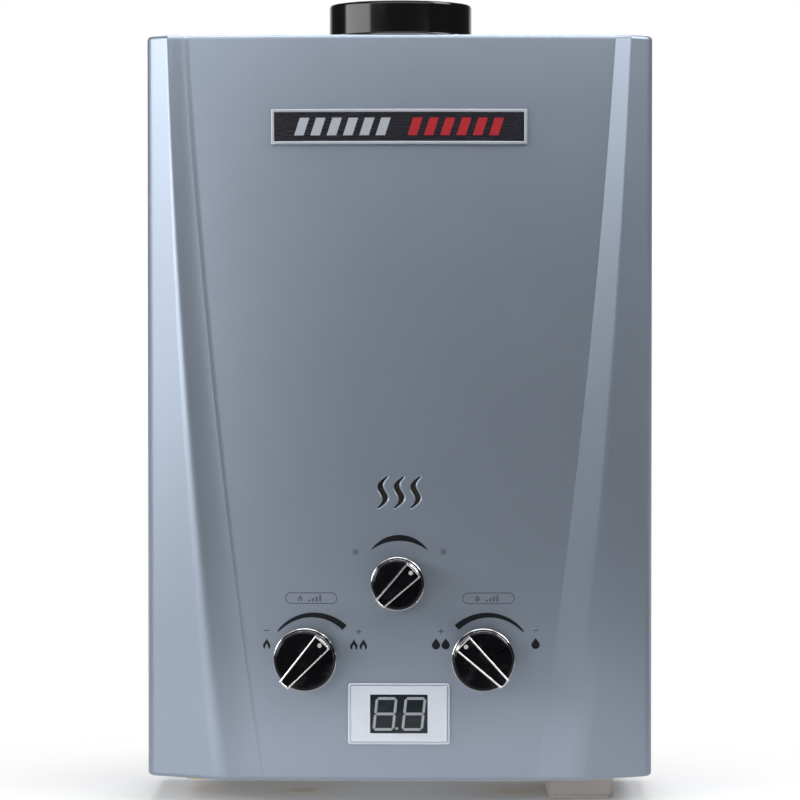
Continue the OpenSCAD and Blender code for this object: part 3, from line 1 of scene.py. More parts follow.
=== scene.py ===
"""Dresses a wall-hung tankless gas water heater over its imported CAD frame.

The casing, slot rims, flue collar, badge, display, knobs, printing, screws and threaded
fittings are drawn again in finer mesh, by the measures of the CAD source. Every other CAD
node keeps its mesh, shaded smooth and under a procedural finish. Forms are worked out in
millimetres and turned into metres when a mesh is made.
"""
import json
import math
from types import SimpleNamespace

import bmesh
import bpy
from bpy.props import FloatProperty, FloatVectorProperty, PointerProperty
from mathutils import Matrix, Vector
from mathutils.kdtree import KDTree


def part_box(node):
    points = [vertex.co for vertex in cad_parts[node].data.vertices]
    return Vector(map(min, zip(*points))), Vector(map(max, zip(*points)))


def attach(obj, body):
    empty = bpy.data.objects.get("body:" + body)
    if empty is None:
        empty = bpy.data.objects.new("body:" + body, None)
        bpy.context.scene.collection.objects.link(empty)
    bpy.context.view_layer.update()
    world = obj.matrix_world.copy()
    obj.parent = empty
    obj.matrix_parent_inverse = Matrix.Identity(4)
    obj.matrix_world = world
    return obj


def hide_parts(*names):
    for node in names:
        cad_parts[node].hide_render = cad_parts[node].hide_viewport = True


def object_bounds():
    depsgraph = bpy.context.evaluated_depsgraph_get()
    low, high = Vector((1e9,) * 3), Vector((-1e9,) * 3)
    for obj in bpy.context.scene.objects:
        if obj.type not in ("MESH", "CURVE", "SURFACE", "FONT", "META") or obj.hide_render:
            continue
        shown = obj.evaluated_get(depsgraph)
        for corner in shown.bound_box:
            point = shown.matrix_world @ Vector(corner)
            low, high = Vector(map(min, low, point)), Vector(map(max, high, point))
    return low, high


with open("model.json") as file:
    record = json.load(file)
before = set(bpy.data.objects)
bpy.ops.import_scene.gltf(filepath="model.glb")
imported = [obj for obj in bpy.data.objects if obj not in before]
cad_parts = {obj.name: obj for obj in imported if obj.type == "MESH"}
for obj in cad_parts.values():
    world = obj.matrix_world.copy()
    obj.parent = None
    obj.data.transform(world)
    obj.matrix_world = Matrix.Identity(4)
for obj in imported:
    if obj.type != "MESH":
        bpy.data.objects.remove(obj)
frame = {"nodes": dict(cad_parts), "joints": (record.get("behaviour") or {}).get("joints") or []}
CAD_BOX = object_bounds()
JOINTS = {joint["name"]: joint for joint in frame["joints"]}

bl_info = {
    "name": "Water Heater Dresser",
    "version": (1, 0, 0),
    "blender": (4, 5, 0),
    "location": "3D View > Sidebar > Heater",
    "description": "Builds the visible pieces and finishes of a tankless gas water heater",
    "category": "Object",
}

MM = 0.001


# Settings

def length(label, about, millimetres):
    return FloatProperty(
        name=label, description=about, default=millimetres * MM, min=0.0,
        unit="LENGTH", subtype="DISTANCE", precision=4)


def place_along(label, about, millimetres):
    return FloatProperty(
        name=label, description=about, default=millimetres * MM,
        unit="LENGTH", subtype="DISTANCE", precision=4)


def angle(label, about, degrees):
    return FloatProperty(
        name=label, description=about, default=math.radians(degrees),
        unit="ROTATION", subtype="ANGLE")


def colour(label, about, rgb):
    return FloatVectorProperty(
        name=label, description=about, default=rgb, min=0.0, max=1.0, subtype="COLOR", size=3)


def strength(label, about, value):
    return FloatProperty(name=label, description=about, default=value, min=0.0)


class HEATER_PG_casing(bpy.types.PropertyGroup):
    width: length("Width", "Width of the casing", 300)
    height: length("Height", "Height of the casing without the flue collar", 440)
    side_depth: length("Side depth", "Depth of the flat sides, from the wall", 104)
    sheet: length("Sheet", "Thickness of the sheet steel", 1)
    rise_top: length("Rise at top", "How far the panel's middle stands forward at the top", 12.5)
    rise_bottom: length("Rise at bottom", "The same at the bottom", 22)
    bow: length("Bow", "How far the panel falls back to its crease, at the top", 6.5)
    inner_top: length("Crease inset at top", "The panel crease's distance from the side", 22)
    inner_bottom: length("Crease inset at bottom", "The same at the bottom", 69.3)
    outer_top: length("Outer crease at top", "The outer crease's distance from the side", 12.8)
    outer_bottom: length("Outer crease at bottom", "The same at the bottom", 44.4)
    belly: length("Crease belly", "How far both creases bulge outwards at half height", 4.6)
    ridge_top: length("Ridge at top", "How far the outer crease stands proud at the top", 3.9)
    ridge_bottom: length("Ridge at bottom", "The same at the bottom", 2)
    softness: length("Softness", "Softness of the outer crease at the bottom", 6)
    corner: length("Corner", "Bend radius between a side and the front", 5)
    edge: length("Edge", "Bend radius along the top and bottom edges", 2.5)
    lip: length("Lip", "Width of the lip folded in under the sides", 14)
    slot_height: length("Slot height", "Height of a flame slot", 18.5)
    slot_swing: length("Slot swing", "Sideways swing of a flame slot's wave", 2.65)
    slot_lean: length("Slot lean", "How far a slot's ends lean past its middle", 2.7)
    slot_width: length("Slot width", "Width of a slot at its middle", 3.4)
    slot_pitch: length("Slot pitch", "Distance from slot to slot", 9.7)
    slot_roll: length("Slot roll", "Radius of the edge that is rolled in round a slot", 1.2)
    collar_width: length("Collar diameter", "Outside diameter of the flue collar", 86)
    collar_rise: length("Collar rise", "Height of the flue collar above the casing", 21.5)
    collar_wall: length("Collar wall", "Wall of the flue collar", 1.6)


class HEATER_PG_controls(bpy.types.PropertyGroup):
    knob: length("Knob radius", "Radius of the flame and water knobs", 18.2)
    season_knob: length("Season knob radius", "Radius of the season knob", 15.4)
    skirt: length("Skirt", "Height of a knob's skirt", 11)
    grip: length("Grip", "Height of a knob to the top of its grip", 24)
    tail: length("Grip tail", "Width of a grip at its tail", 6.8)
    head: length("Grip head", "Width of a grip at its pointer", 11.6)
    trim: length("Trim", "Wall of the bright trim round a grip", 1.1)
    flame_pointer: angle("Flame pointer", "Rest angle of the flame knob, clockwise", 42)
    water_pointer: angle("Water pointer", "Rest angle of the water knob, clockwise", -46)
    season_pointer: angle("Season pointer", "Rest angle of the season knob, clockwise", 45)
    bezel_width: length("Bezel width", "Width of the display bezel", 60)
    bezel_height: length("Bezel height", "Height of the display bezel", 36)
    bezel_rise: length("Bezel thickness", "Thickness of the display bezel", 2.2)
    window_width: length("Window width", "Width of the dark display window", 33.6)
    window_height: length("Window height", "Height of the dark display window", 22.6)
    display_z: place_along("Display place", "Height of the display's middle", -180.3)
    badge_width: length("Badge width", "Width of the badge plate", 151)
    badge_height: length("Badge height", "Height of the badge plate", 20.7)
    badge_rise: length("Badge thickness", "Thickness of the badge plate", 2.6)
    badge_z: place_along("Badge place", "Height of the badge's middle", 165.5)


class HEATER_PG_colours(bpy.types.PropertyGroup):
    lacquer: colour("Lacquer", "Metallic lacquer of the casing", (0.293, 0.34, 0.412))
    black: colour("Black", "Polished black of the knobs and badge", (0.003, 0.003, 0.004))
    enamel: colour("Enamel", "Black enamel of the flue collar", (0.003, 0.003, 0.0035))
    chrome: colour("Chrome", "Bright plating", (0.86, 0.85, 0.84))
    bezel: colour("Bezel", "Silver lacquer of the display bezel", (0.59, 0.63, 0.70))
    window: colour("Window", "Tinted display window", (0.013, 0.017, 0.021))
    segment: colour("Segment", "Unlit segments of the display", (0.27, 0.29, 0.32))
    ink: colour("Ink", "Printing on the casing", (0.004, 0.0045, 0.006))
    grey_ink: colour("Grey ink", "Fine printing on the casing", (0.06, 0.066, 0.078))
    red: colour("Red", "Stripes on the badge", (0.30, 0.018, 0.024))
    zinc: colour("Zinc", "Zinc-plated sheet", (0.55, 0.57, 0.60))
    copper: colour("Copper", "Bare copper", (0.72, 0.36, 0.22))
    brass: colour("Brass", "Forged and turned brass", (0.68, 0.50, 0.22))
    taupe: colour("Taupe", "Moulding of the battery box", (0.46, 0.415, 0.385))


class HEATER_PG_stage(bpy.types.PropertyGroup):
    camera_x: place_along("Camera offset", "How far the camera stands to the right", 30)
    camera_y: place_along("Camera depth", "Camera's place in front of the wall", -2144)
    camera_z: place_along("Camera height", "Camera's height over the middle", 47)
    aim_x: place_along("Aim offset", "Sideways place that the camera looks at", 0.3)
    aim_z: place_along("Aim height", "Height that the camera looks at", 4.1)
    view: angle("View", "Angle that the camera takes in", 13.287)
    key_box: strength("Key softbox", "Watts of the softbox in front on the left", 6.4)
    left_box: strength("Left softbox", "Watts of the softbox beside the piece on the left", 7.4)
    right_box: strength("Right softbox", "Watts of the softbox on the right, high up", 15)
    overhead: strength("Overhead", "Watts of the light straight above", 8)
    top_strip: strength("Top strip", "Watts of the strip in front of the top", 1.3)
    low_strip: strength("Low strip", "Watts of the low strip in front", 0.21)
    rear_box: strength("Rear softbox", "Watts of the softbox behind, high up", 11)
    front_grey: strength("Front grey", "Level of the studio in front, as metal mirrors it", 0.05)
    ambient: strength("Ambient", "Level of the studio's all-round light", 0.15)


def measures(group):
    """A settings group's values, with its lengths in millimetres."""
    found = SimpleNamespace()
    for key, prop in group.bl_rna.properties.items():
        if prop.type != "FLOAT":
            continue
        value = getattr(group, key)
        if prop.is_array:
            value = tuple(value)
        elif prop.unit == "LENGTH":
            value /= MM
        setattr(found, key, value)
    return found


# Shader expressions

class Signal:
    """One output of a node, with the arithmetic that the finishes use."""

    def __init__(self, tree, socket):
        self.tree, self.socket = tree, socket

    def maths(self, operation, *values):
        return self.tree.node("ShaderNodeMath", {"operation": operation}, dict(enumerate(values)))

    def __add__(self, other):
        return self.maths("ADD", self, other)

    def __radd__(self, other):
        return self.maths("ADD", other, self)

    def __sub__(self, other):
        return self.maths("SUBTRACT", self, other)

    def __rsub__(self, other):
        return self.maths("SUBTRACT", other, self)

    def __mul__(self, other):
        return self.maths("MULTIPLY", self, other)

    def __rmul__(self, other):
        return self.maths("MULTIPLY", other, self)

    def max(self, other):
        return self.maths("MAXIMUM", self, other)

    def ramp(self, low, high):
        """0 below low, 1 above high and smooth between them."""
        return self.tree.node(
            "ShaderNodeMapRange", {"interpolation_type": "SMOOTHSTEP"},
            {"Value": self, "From Min": low, "From Max": high})


class Tree:
    """A node tree that is written as expressions."""

    def __init__(self, owner):
        owner.use_nodes = True
        self.tree = owner.node_tree
        self.tree.nodes.clear()

    def node(self, kind, settings=None, sockets=None, out=0):
        """A new node's output: its settings are set first, then its sockets' values and links."""
        made = self.tree.nodes.new(kind)
        for key, value in (settings or {}).items():
            setattr(made, key, value)
        for key, value in (sockets or {}).items():
            if isinstance(value, Signal):
                self.tree.links.new(value.socket, made.inputs[key])
            elif isinstance(value, (tuple, list)) and made.inputs[key].type == "RGBA":
                made.inputs[key].default_value = (*value[:3], 1.0)
            else:
                made.inputs[key].default_value = value
        return Signal(self, made.outputs[out] if made.outputs else None)

    def mix(self, low, high, factor):
        """A colour between two colours."""
        return self.node(
            "ShaderNodeMix", {"data_type": "RGBA"}, {0: factor, 6: low, 7: high}, out=2)

    def shaders(self, low, high, factor):
        """One of two shaders, or a mixture."""
        return self.node("ShaderNodeMixShader", {}, {0: factor, 1: low, 2: high})

    def ray(self, kind):
        """1 for rays of that kind."""
        return self.node("ShaderNodeLightPath", out=kind)


class Finish(Tree):
    """A material: one Principled shader, with what varies over the surface linked to it."""

    def __init__(self, name, rgb, metallic, roughness, **constants):
        self.material = bpy.data.materials.new(name)
        super().__init__(self.material)
        sockets = {"Base Color": rgb, "Metallic": metallic, "Roughness": roughness}
        sockets.update({key.replace("_", " "): value for key, value in constants.items()})
        self.shader = self.node("ShaderNodeBsdfPrincipled", {}, sockets)
        self.output = self.tree.nodes.new("ShaderNodeOutputMaterial")
        self.surface(self.shader)

    def surface(self, shader):
        self.tree.links.new(shader.socket, self.output.inputs[0])

    def link(self, socket, signal):
        self.tree.links.new(signal.socket, self.shader.socket.node.inputs[socket])

    def place(self, stretch=(1, 1, 1)):
        """The point on the piece in millimetres, with each axis stretched."""
        at = self.node("ShaderNodeTexCoord", out="Object")
        scale = tuple(1 / MM / s for s in stretch)
        return self.node("ShaderNodeVectorMath", {"operation": "MULTIPLY"}, {0: at, 1: scale})

    def along(self, axis):
        """The place along an axis in millimetres."""
        return self.node("ShaderNodeSeparateXYZ", {}, {0: self.place()}, out="XYZ".index(axis))

    def noise(self, size, detail=3, stretch=(1, 1, 1)):
        """Soft noise with features of about that size in millimetres."""
        return self.node(
            "ShaderNodeTexNoise", {},
            {"Vector": self.place(stretch), "Scale": 1 / size, "Detail": detail})

    def cells(self, size, out="Color", feature="F1", stretch=(1, 1, 1)):
        """Cells of about that size in millimetres: a tone of each, or the distance to its edge."""
        return self.node(
            "ShaderNodeTexVoronoi", {"feature": feature},
            {"Vector": self.place(stretch), "Scale": 1 / size}, out=out)

    def tint(self, low, high, factor):
        self.link("Base Color", self.mix(low, high, factor))

    def bump(self, height, depth):
        """Relief of that depth in millimetres."""
        self.link("Normal", self.node(
            "ShaderNodeBump", {}, {"Height": height, "Distance": depth * MM, "Strength": 1.0}))


def shade(rgb, factor):
    return tuple(min(1.0, c * factor) for c in rgb)


FINISHES = {}


def finish(name):
    """The material of that name, made the first time that it is asked for."""
    if name not in FINISHES:
        made = MAKERS[name](measures(bpy.context.scene.heater_colours))
        FINISHES[name] = made.material
    return FINISHES[name]


def lacquer(c):
    """Metallic lacquer: flakes that differ a little in tone under a thin clear coat."""
    made = Finish("casing_lacquer", c.lacquer, 0.72, 0.36, Coat_Weight=0.06, Coat_Roughness=0.2)
    flakes = made.cells(0.22)
    cloud = made.noise(70, 2)
    made.tint(shade(c.lacquer, 0.965), shade(c.lacquer, 1.035), flakes * 0.5 + cloud * 0.5)
    made.link("Roughness", 0.37 + made.noise(26) * 0.05 + flakes * 0.02)
    made.bump(made.noise(1.6, 1), 0.006)
    return made


def polished_black(c):
    made = Finish("polished_black", c.black, 0, 0.12, Specular_IOR_Level=0.2)
    smudge = made.noise(7, 4).ramp(0.5, 0.72)
    made.tint(c.black, shade(c.black, 2.2), smudge)
    made.link("Roughness", 0.1 + smudge * 0.16 + made.noise(0.35, 2, (12, 1, 1)) * 0.04)
    made.bump(made.noise(2.4, 1), 0.004)
    return made


def badge_black(c):
    made = Finish("badge_black", c.black, 0, 0.2, Specular_IOR_Level=0.4)
    brushed = made.noise(0.4, 3, (40, 1, 1))
    made.tint(shade(c.black, 2), shade(c.black, 7), brushed)
    made.link("Roughness", 0.2 + brushed * 0.14)
    made.bump(brushed, 0.01)
    return made


def red_enamel(c):
    made = Finish("red_enamel", c.red, 0, 0.28, Specular_IOR_Level=0.4)
    grain = made.noise(0.5, 2)
    made.tint(shade(c.red, 0.85), shade(c.red, 1.15), grain)
    made.link("Roughness", 0.24 + grain * 0.1)
    made.bump(grain, 0.004)
    return made


def black_enamel(c):
    made = Finish("black_enamel", c.enamel, 0, 0.17, Specular_IOR_Level=0.45)
    dust = made.noise(15, 4).ramp(0.55, 0.8)
    made.tint(c.enamel, shade(c.enamel, 2.0), dust)
    made.link("Roughness", 0.13 + dust * 0.14)
    made.bump(made.noise(1.8, 1), 0.008)
    return made


def chrome(c):
    made = Finish("chrome", c.chrome, 1, 0.08)
    haze = made.noise(4, 3)
    made.tint(shade(c.chrome, 0.94), c.chrome, haze)
    made.link("Roughness", 0.06 + haze * 0.1)
    made.bump(made.noise(1.2, 1), 0.002)
    return made


def silver(name, tone):
    """Silver lacquer, finer and less bright than plating."""
    made = Finish(name, tone, 0.3, 0.36, Coat_Weight=0.15, Coat_Roughness=0.2)
    flakes = made.cells(0.18)
    made.tint(shade(tone, 0.96), shade(tone, 1.04), flakes)
    made.link("Roughness", 0.33 + made.noise(9) * 0.08)
    made.bump(made.noise(0.9, 2), 0.003)
    return made


def window_glass(c):
    made = Finish("window_glass", c.window, 0, 0.09, Specular_IOR_Level=0.2)
    smear = made.noise(6, 3, (3, 1, 1)).ramp(0.45, 0.75)
    made.tint(c.window, shade(c.window, 1.5), smear)
    made.link("Roughness", 0.07 + smear * 0.12)
    made.bump(made.noise(5, 1), 0.002)
    return made


def segment_grey(c):
    made = Finish("segment_grey", c.segment, 0, 0.5)
    made.tint(shade(c.segment, 0.85), shade(c.segment, 1.15), made.noise(1.5))
    made.link("Roughness", 0.45 + made.noise(0.5) * 0.1)
    return made


def ink_film(name, tone):
    """Screen-printed ink, a little uneven where it lies thin."""
    made = Finish(name, tone, 0, 0.42, Specular_IOR_Level=0.25)
    grain = made.noise(0.3, 2)
    made.tint(shade(tone, 0.8), shade(tone, 1.8), grain)
    made.link("Roughness", 0.36 + grain * 0.14)
    made.bump(grain, 0.004)
    return made


def printing_ink(c):
    return ink_film("printing_ink", c.ink)


def fine_ink(c):
    return ink_film("fine_ink", c.grey_ink)


def dot_white(c):
    made = Finish("dot_white", (0.38, 0.375, 0.37), 0, 0.4)
    made.tint((0.34, 0.335, 0.33), (0.42, 0.415, 0.41), made.noise(0.6))
    made.link("Roughness", 0.35 + made.noise(0.3) * 0.15)
    return made


def zinc(c):
    """Spangled plate: crystals that differ a little in tone and gloss."""
    made = Finish("zinc_plate", c.zinc, 1, 0.4)
    spangle = made.cells(6.5, stretch=(1, 1, 1.4))
    edge = made.cells(6.5, "Distance", "DISTANCE_TO_EDGE", (1, 1, 1.4)).ramp(0.0, 0.08)
    stain = made.noise(34, 4).ramp(0.52, 0.78)
    tone = made.mix(shade(c.zinc, 0.82), shade(c.zinc, 1.1), spangle)
    made.link("Base Color", made.mix(tone, (0.42, 0.43, 0.44), stain * 0.55))
    made.link("Roughness", 0.3 + spangle * 0.16 + stain * 0.14)
    made.bump(edge + made.noise(0.9, 2) * 0.5, 0.012)
    return made


def stainless(c):
    """Brushed sheet that the flames have browned above the burner's ports."""
    made = Finish("stainless_sheet", (0.56, 0.55, 0.54), 1, 0.32)
    brushed = made.noise(0.5, 3, (1, 26, 1))
    heat = made.along("Z").ramp(-72, -56) * made.noise(16, 3).ramp(0.3, 0.7)
    tone = made.mix((0.5, 0.49, 0.48), (0.62, 0.61, 0.6), brushed)
    made.link("Base Color", made.mix(tone, (0.36, 0.27, 0.24), heat * 0.7))
    made.link("Roughness", 0.24 + brushed * 0.16 + heat * 0.1)
    made.bump(brushed, 0.006)
    return made


def copper(c):
    """Bare copper, darker where the flames and the years have been at it."""
    made = Finish("bare_copper", c.copper, 1, 0.34)
    drawn = made.noise(0.6, 3, (18, 1, 1))
    tarnish = made.noise(28, 5).ramp(0.42, 0.72)
    heat = made.along("Z").ramp(-40, 60) * made.noise(40, 3)
    tone = made.mix(c.copper, (0.40, 0.20, 0.13), tarnish * 0.7)
    made.link("Base Color", made.mix(tone, (0.34, 0.18, 0.20), heat * 0.45))
    made.link("Roughness", 0.26 + tarnish * 0.22 + drawn * 0.08)
    made.bump(drawn + made.noise(9, 2), 0.008)
    return made


def brass(c):
    made = Finish("forged_brass", c.brass, 1, 0.36)
    skin = made.noise(0.7, 4)
    dull = made.noise(13, 4).ramp(0.45, 0.75)
    made.tint(c.brass, (0.44, 0.33, 0.17), dull * 0.7)
    made.link("Roughness", 0.27 + dull * 0.2 + skin * 0.08)
    made.bump(skin, 0.014)
    return made


def cast_alloy(c):
    made = Finish("cast_alloy", (0.50, 0.51, 0.52), 1, 0.48)
    grain = made.noise(0.45, 5)
    flow = made.noise(18, 3)
    made.tint((0.43, 0.44, 0.45), (0.57, 0.58, 0.59), flow * 0.6 + grain * 0.4)
    made.link("Roughness", 0.42 + grain * 0.16)
    made.bump(grain, 0.03)
    return made


def moulding(name, rgb, low=0.4, high=0.58, grain=0.35, depth=0.02):
    """Moulded plastic or rubber with a fine spark-eroded grain."""
    made = Finish(name, rgb, 0, (low + high) / 2)
    texture = made.noise(grain, 3)
    cloud = made.noise(22, 3)
    made.tint(shade(rgb, 0.9), shade(rgb, 1.1), cloud * 0.7 + texture * 0.3)
    made.link("Roughness", low + texture * (high - low))
    made.bump(texture, depth)
    return made


def ceramic(c):
    """Glazed insulator with soot on the end that reaches into the flames."""
    made = Finish("glazed_ceramic", (0.80, 0.78, 0.72), 0, 0.2, Coat_Weight=0.4)
    soot = made.noise(5, 4).ramp(0.55, 0.8) * made.along("Y").ramp(-90, -80)
    made.tint((0.80, 0.78, 0.72), (0.40, 0.36, 0.31), soot)
    made.link("Roughness", 0.16 + made.noise(1.5) * 0.12)
    made.bump(made.noise(1.1, 2), 0.006)
    return made


def board(c):
    """Green laminate: tracks under the mask, seen as a faint relief."""
    made = Finish("circuit_board", (0.03, 0.16, 0.08), 0, 0.35)
    tracks = made.cells(2.4, "Distance", "DISTANCE_TO_EDGE").ramp(0.05, 0.12)
    made.tint((0.05, 0.25, 0.13), (0.025, 0.14, 0.07), tracks)
    made.link("Roughness", 0.28 + made.noise(0.8) * 0.14)
    made.bump(1 - tracks, 0.03)
    return made


def mica(c):
    """Split mica over the unlit burner, in flakes laid over each other. Its near-black colour is painted
    shade for the dark behind the flame slots.
    """
    # The near-black tones below are painted shade for the dark inside the casing behind the slots
    made = Finish("mica_pane", (0.02, 0.017, 0.013), 0.1, 0.3, Specular_IOR_Level=0.3)
    flakes = made.cells(9, stretch=(2.2, 1, 1))
    made.tint((0.010, 0.009, 0.008), (0.034, 0.028, 0.02), flakes)
    made.link("Roughness", 0.2 + flakes * 0.22)
    made.bump(made.cells(9, "Distance", "DISTANCE_TO_EDGE", (2.2, 1, 1)).ramp(0, 0.05), 0.02)
    return made


def cell_jacket(c):
    """Plain printed steel jacket: a dark body with one pale band, and bare metal ends."""
    made = Finish("cell_jacket", (0.02, 0.035, 0.07), 0.35, 0.3)
    rise = made.along("Z")

    def above(height):
        return rise.ramp(height - 0.2, height + 0.2)

    foot, band_foot, band_top, top = -230.8, -186.2, -180.1, -173.8
    band = above(band_foot) * (1 - above(band_top))
    ends = (1 - above(foot)) + above(top)
    body = made.mix((0.02, 0.035, 0.07), (0.50, 0.44, 0.30), band)
    made.link("Base Color", made.mix(body, (0.55, 0.55, 0.56), ends))
    made.link("Metallic", 0.35 + ends * 0.6)
    made.link("Roughness", 0.24 + made.noise(4) * 0.14)
    made.bump(made.noise(2.2, 2), 0.006)
    return made


# Each finish by the name that the pieces ask for
MAKERS = {
    "lacquer": lacquer, "enamel": black_enamel, "black": polished_black, "badge": badge_black,
    "red": red_enamel, "chrome": chrome, "window": window_glass, "segment": segment_grey,
    "ink": printing_ink, "fine_ink": fine_ink, "dot": dot_white, "zinc": zinc,
    "stainless": stainless, "copper": copper, "brass": brass, "cast": cast_alloy,
    "ceramic": ceramic, "board": board, "mica": mica, "cells": cell_jacket,
    "bezel": lambda c: silver("silver_bezel", c.bezel),
    "satin": lambda c: silver("satin_rim", shade(c.bezel, 0.62)),
    "taupe": lambda c: moulding("taupe_moulding", c.taupe, 0.42, 0.6, 0.3, 0.02),
    "dark": lambda c: moulding("dark_moulding", (0.035, 0.036, 0.04), 0.36, 0.52),
    "rubber": lambda c: moulding("moulded_rubber", (0.02, 0.02, 0.021), 0.55, 0.75, 0.6, 0.03),
    "pale": lambda c: moulding("pale_moulding", (0.62, 0.62, 0.58), 0.35, 0.5),
    "lead": lambda c: moulding("lead_insulation", (0.025, 0.025, 0.028), 0.35, 0.5, 0.8, 0.015),
}


# Forms

def slide(a, b, distance):
    """The point that far from a towards b, and no further than 45% of the way."""
    way = b - a
    return a + way.normalized() * min(distance, 0.45 * way.length)


def bend(a, b, c, steps):
    """A soft bend from a to c that leans towards b: each point with its tangent, twice."""
    found = []
    for i in range(steps + 1):
        t = i / steps
        point = (1 - t) ** 2 * a + 2 * t * (1 - t) * b + t * t * c
        tangent = ((1 - t) * (b - a) + t * (c - b)).normalized()
        found.append((point, tangent, tangent))
    return found


class CasingForm:
    """The casing's outer surface, by the CAD source's formulas. Only the outer crease is a
    little prouder and sharper here."""

    # Gap between the sheet's rear edges and the wall
    REAR_GAP = 2
    # Softness of the outer crease at the top
    SOFT_TOP = 1
    # Width of a slot's ends as a share of its middle's
    SLOT_END = 0.25
    PANEL_STEPS = 36
    BEND_STEPS = 8
    EDGE_STEPS = 6
    ROWS = 88

    def __init__(self, sizes):
        self.s = sizes
        self.half = sizes.width / 2
        self.top = sizes.height / 2
        self.lean = (sizes.rise_bottom - sizes.rise_top) / sizes.height
        self.flat = self.half - sizes.inner_top

    def blend(self, top, bottom, z):
        """A size at that height, from its values at the top and at the bottom."""
        return top + (bottom - top) * (self.top - z) / self.s.height

    def crease(self, top, bottom, z):
        """A crease's distance from the middle at that height."""
        fall = (self.top - z) / self.s.height
        return self.half - self.blend(top, bottom, z) + 4 * self.s.belly * fall * (1 - fall)

    def inner(self, z):
        return self.crease(self.s.inner_top, self.s.inner_bottom, z)

    def bow(self, x):
        """How far the panel falls back there from its middle line."""
        return self.s.bow * (x / self.flat) ** 2

    def panel_y(self, x, z):
        return self.bow(x) - self.s.side_depth - self.blend(self.s.rise_top, self.s.rise_bottom, z)

    def slope(self, x):
        return 2 * self.s.bow * x / self.flat ** 2

    def panel_normal(self, x):
        return Vector((self.slope(x), -1, self.lean)).normalized()

    def on_panel(self, x, z, lift):
        """A point that stands so far proud of the panel."""
        return Vector((x, self.panel_y(x, z), z)) + self.panel_normal(x) * lift

    def stand(self, z):
        """Matrix of a frame on the panel's middle line: X right, Y up, Z at the viewer."""
        turn = Matrix.Rotation(math.pi / 2 - math.atan(self.lean), 4, "X")
        return Matrix.Translation((0, self.panel_y(0, z), z)) @ turn

    def half_outline(self, z):
        """Points from the panel's middle to the rear edge, with the tangents on both sides."""
        s = self.s
        x2 = self.inner(z)
        crease = Vector((x2, self.panel_y(x2, z)))
        ridge = Vector((self.crease(s.outer_top, s.outer_bottom, z),
                        crease.y - self.blend(s.ridge_top, s.ridge_bottom, z)))
        side = Vector((self.half, -s.side_depth))
        soft = self.blend(self.SOFT_TOP, s.softness, z)
        found = []
        for i in range(self.PANEL_STEPS + 1):
            x = x2 * i / self.PANEL_STEPS
            tangent = Vector((1, self.slope(x))).normalized()
            found.append((Vector((x, self.panel_y(x, z))), tangent, tangent))
        found[-1] = (found[-1][0], found[-1][1], (ridge - crease).normalized())
        found += bend(slide(ridge, crease, soft), ridge, slide(ridge, side, soft), self.BEND_STEPS)
        found += bend(slide(side, ridge, s.corner), side, side + Vector((0, s.corner)),
                      self.BEND_STEPS)
        back = Vector((0, 1))
        return found + [(Vector((self.half, -self.REAR_GAP)), back, back)]

    def stations(self):
        """(height, inset, edge angle, up or down) of each row, from the top down."""
        s = self.s
        top = [(self.top - s.edge * (1 - math.cos(a)), s.edge * (1 - math.sin(a)), a, 1)
               for a in quarter_turn(self.EDGE_STEPS)]
        span = s.height - 2 * s.edge
        middle = [(self.top - s.edge - span * i / self.ROWS, 0, math.pi / 2, 1)
                  for i in range(1, self.ROWS)]
        return top + middle + [(-z, e, a, -1) for z, e, a, _ in reversed(top)]

    def row(self, z, inset, turn, way):
        """One row round the casing, from the left: each point with the normal on its side
        towards the middle and the one on its outer side."""
        here, above, below = (self.half_outline(z + step) for step in (0, 0.5, -0.5))
        right = []
        for (p, before, after), (up, _, _), (down, _, _) in zip(here, above, below):
            drift = up - down
            normals = []
            for t in (before, after):
                out = Vector((t.y, -t.x, t.x * drift.y - t.y * drift.x)).normalized()
                normals.append(out * math.sin(turn) + Vector((0, 0, way * math.cos(turn))))
            point = Vector((p.x * (1 - inset / self.half), min(p.y + inset, -self.REAR_GAP), z))
            right.append((point, *normals))
        mirror = Vector((-1, 1, 1))
        left = [tuple(v * mirror for v in entry) for entry in reversed(right[1:])]
        return left + right

    def slot(self, grow=0.0, steps=28):
        """Outline of one S-shaped flame slot about its middle, grown outwards."""
        s = self.s
        left, right = [], []
        for i in range(steps + 1):
            t = i / steps
            x = s.slot_lean * (1 - 2 * t) - s.slot_swing * math.sin(2 * math.pi * t)
            half = s.slot_width / 2 * (self.SLOT_END + (1 - self.SLOT_END) * math.sin(math.pi * t))
            z = s.slot_height * (0.5 - t)
            left.append(Vector((x - half, z)))
            right.append(Vector((x + half, z)))
        return grown(left + right[::-1], grow)


def grown(outline, distance):
    """A closed outline, counter-clockwise, moved outwards."""
    found = []
    for i, point in enumerate(outline):
        before = (point - outline[i - 1]).normalized()
        after = (outline[(i + 1) % len(outline)] - point).normalized()
        normal = Vector((before.y + after.y, -before.x - after.x)).normalized()
        found.append(point + normal * distance)
    return found


def rounded_rect(width, height, radius, steps=6):
    """Corner-rounded rectangle about the origin, counter-clockwise."""
    found = []
    for quarter, (sx, sy) in enumerate(((1, 1), (-1, 1), (-1, -1), (1, -1))):
        for i in range(steps + 1):
            a = math.pi / 2 * (quarter + i / steps)
            found.append(Vector((sx * (width / 2 - radius) + radius * math.cos(a),
                                 sy * (height / 2 - radius) + radius * math.sin(a))))
    return found


def quarter_turn(steps=6):
    """Angles from nothing to a quarter turn."""
    return [math.pi / 2 * i / steps for i in range(steps + 1)]


def circle(radius, sides=96, at=(0, 0)):
    return [Vector((at[0] + radius * math.cos(2 * math.pi * i / sides),
                    at[1] + radius * math.sin(2 * math.pi * i / sides))) for i in range(sides)]


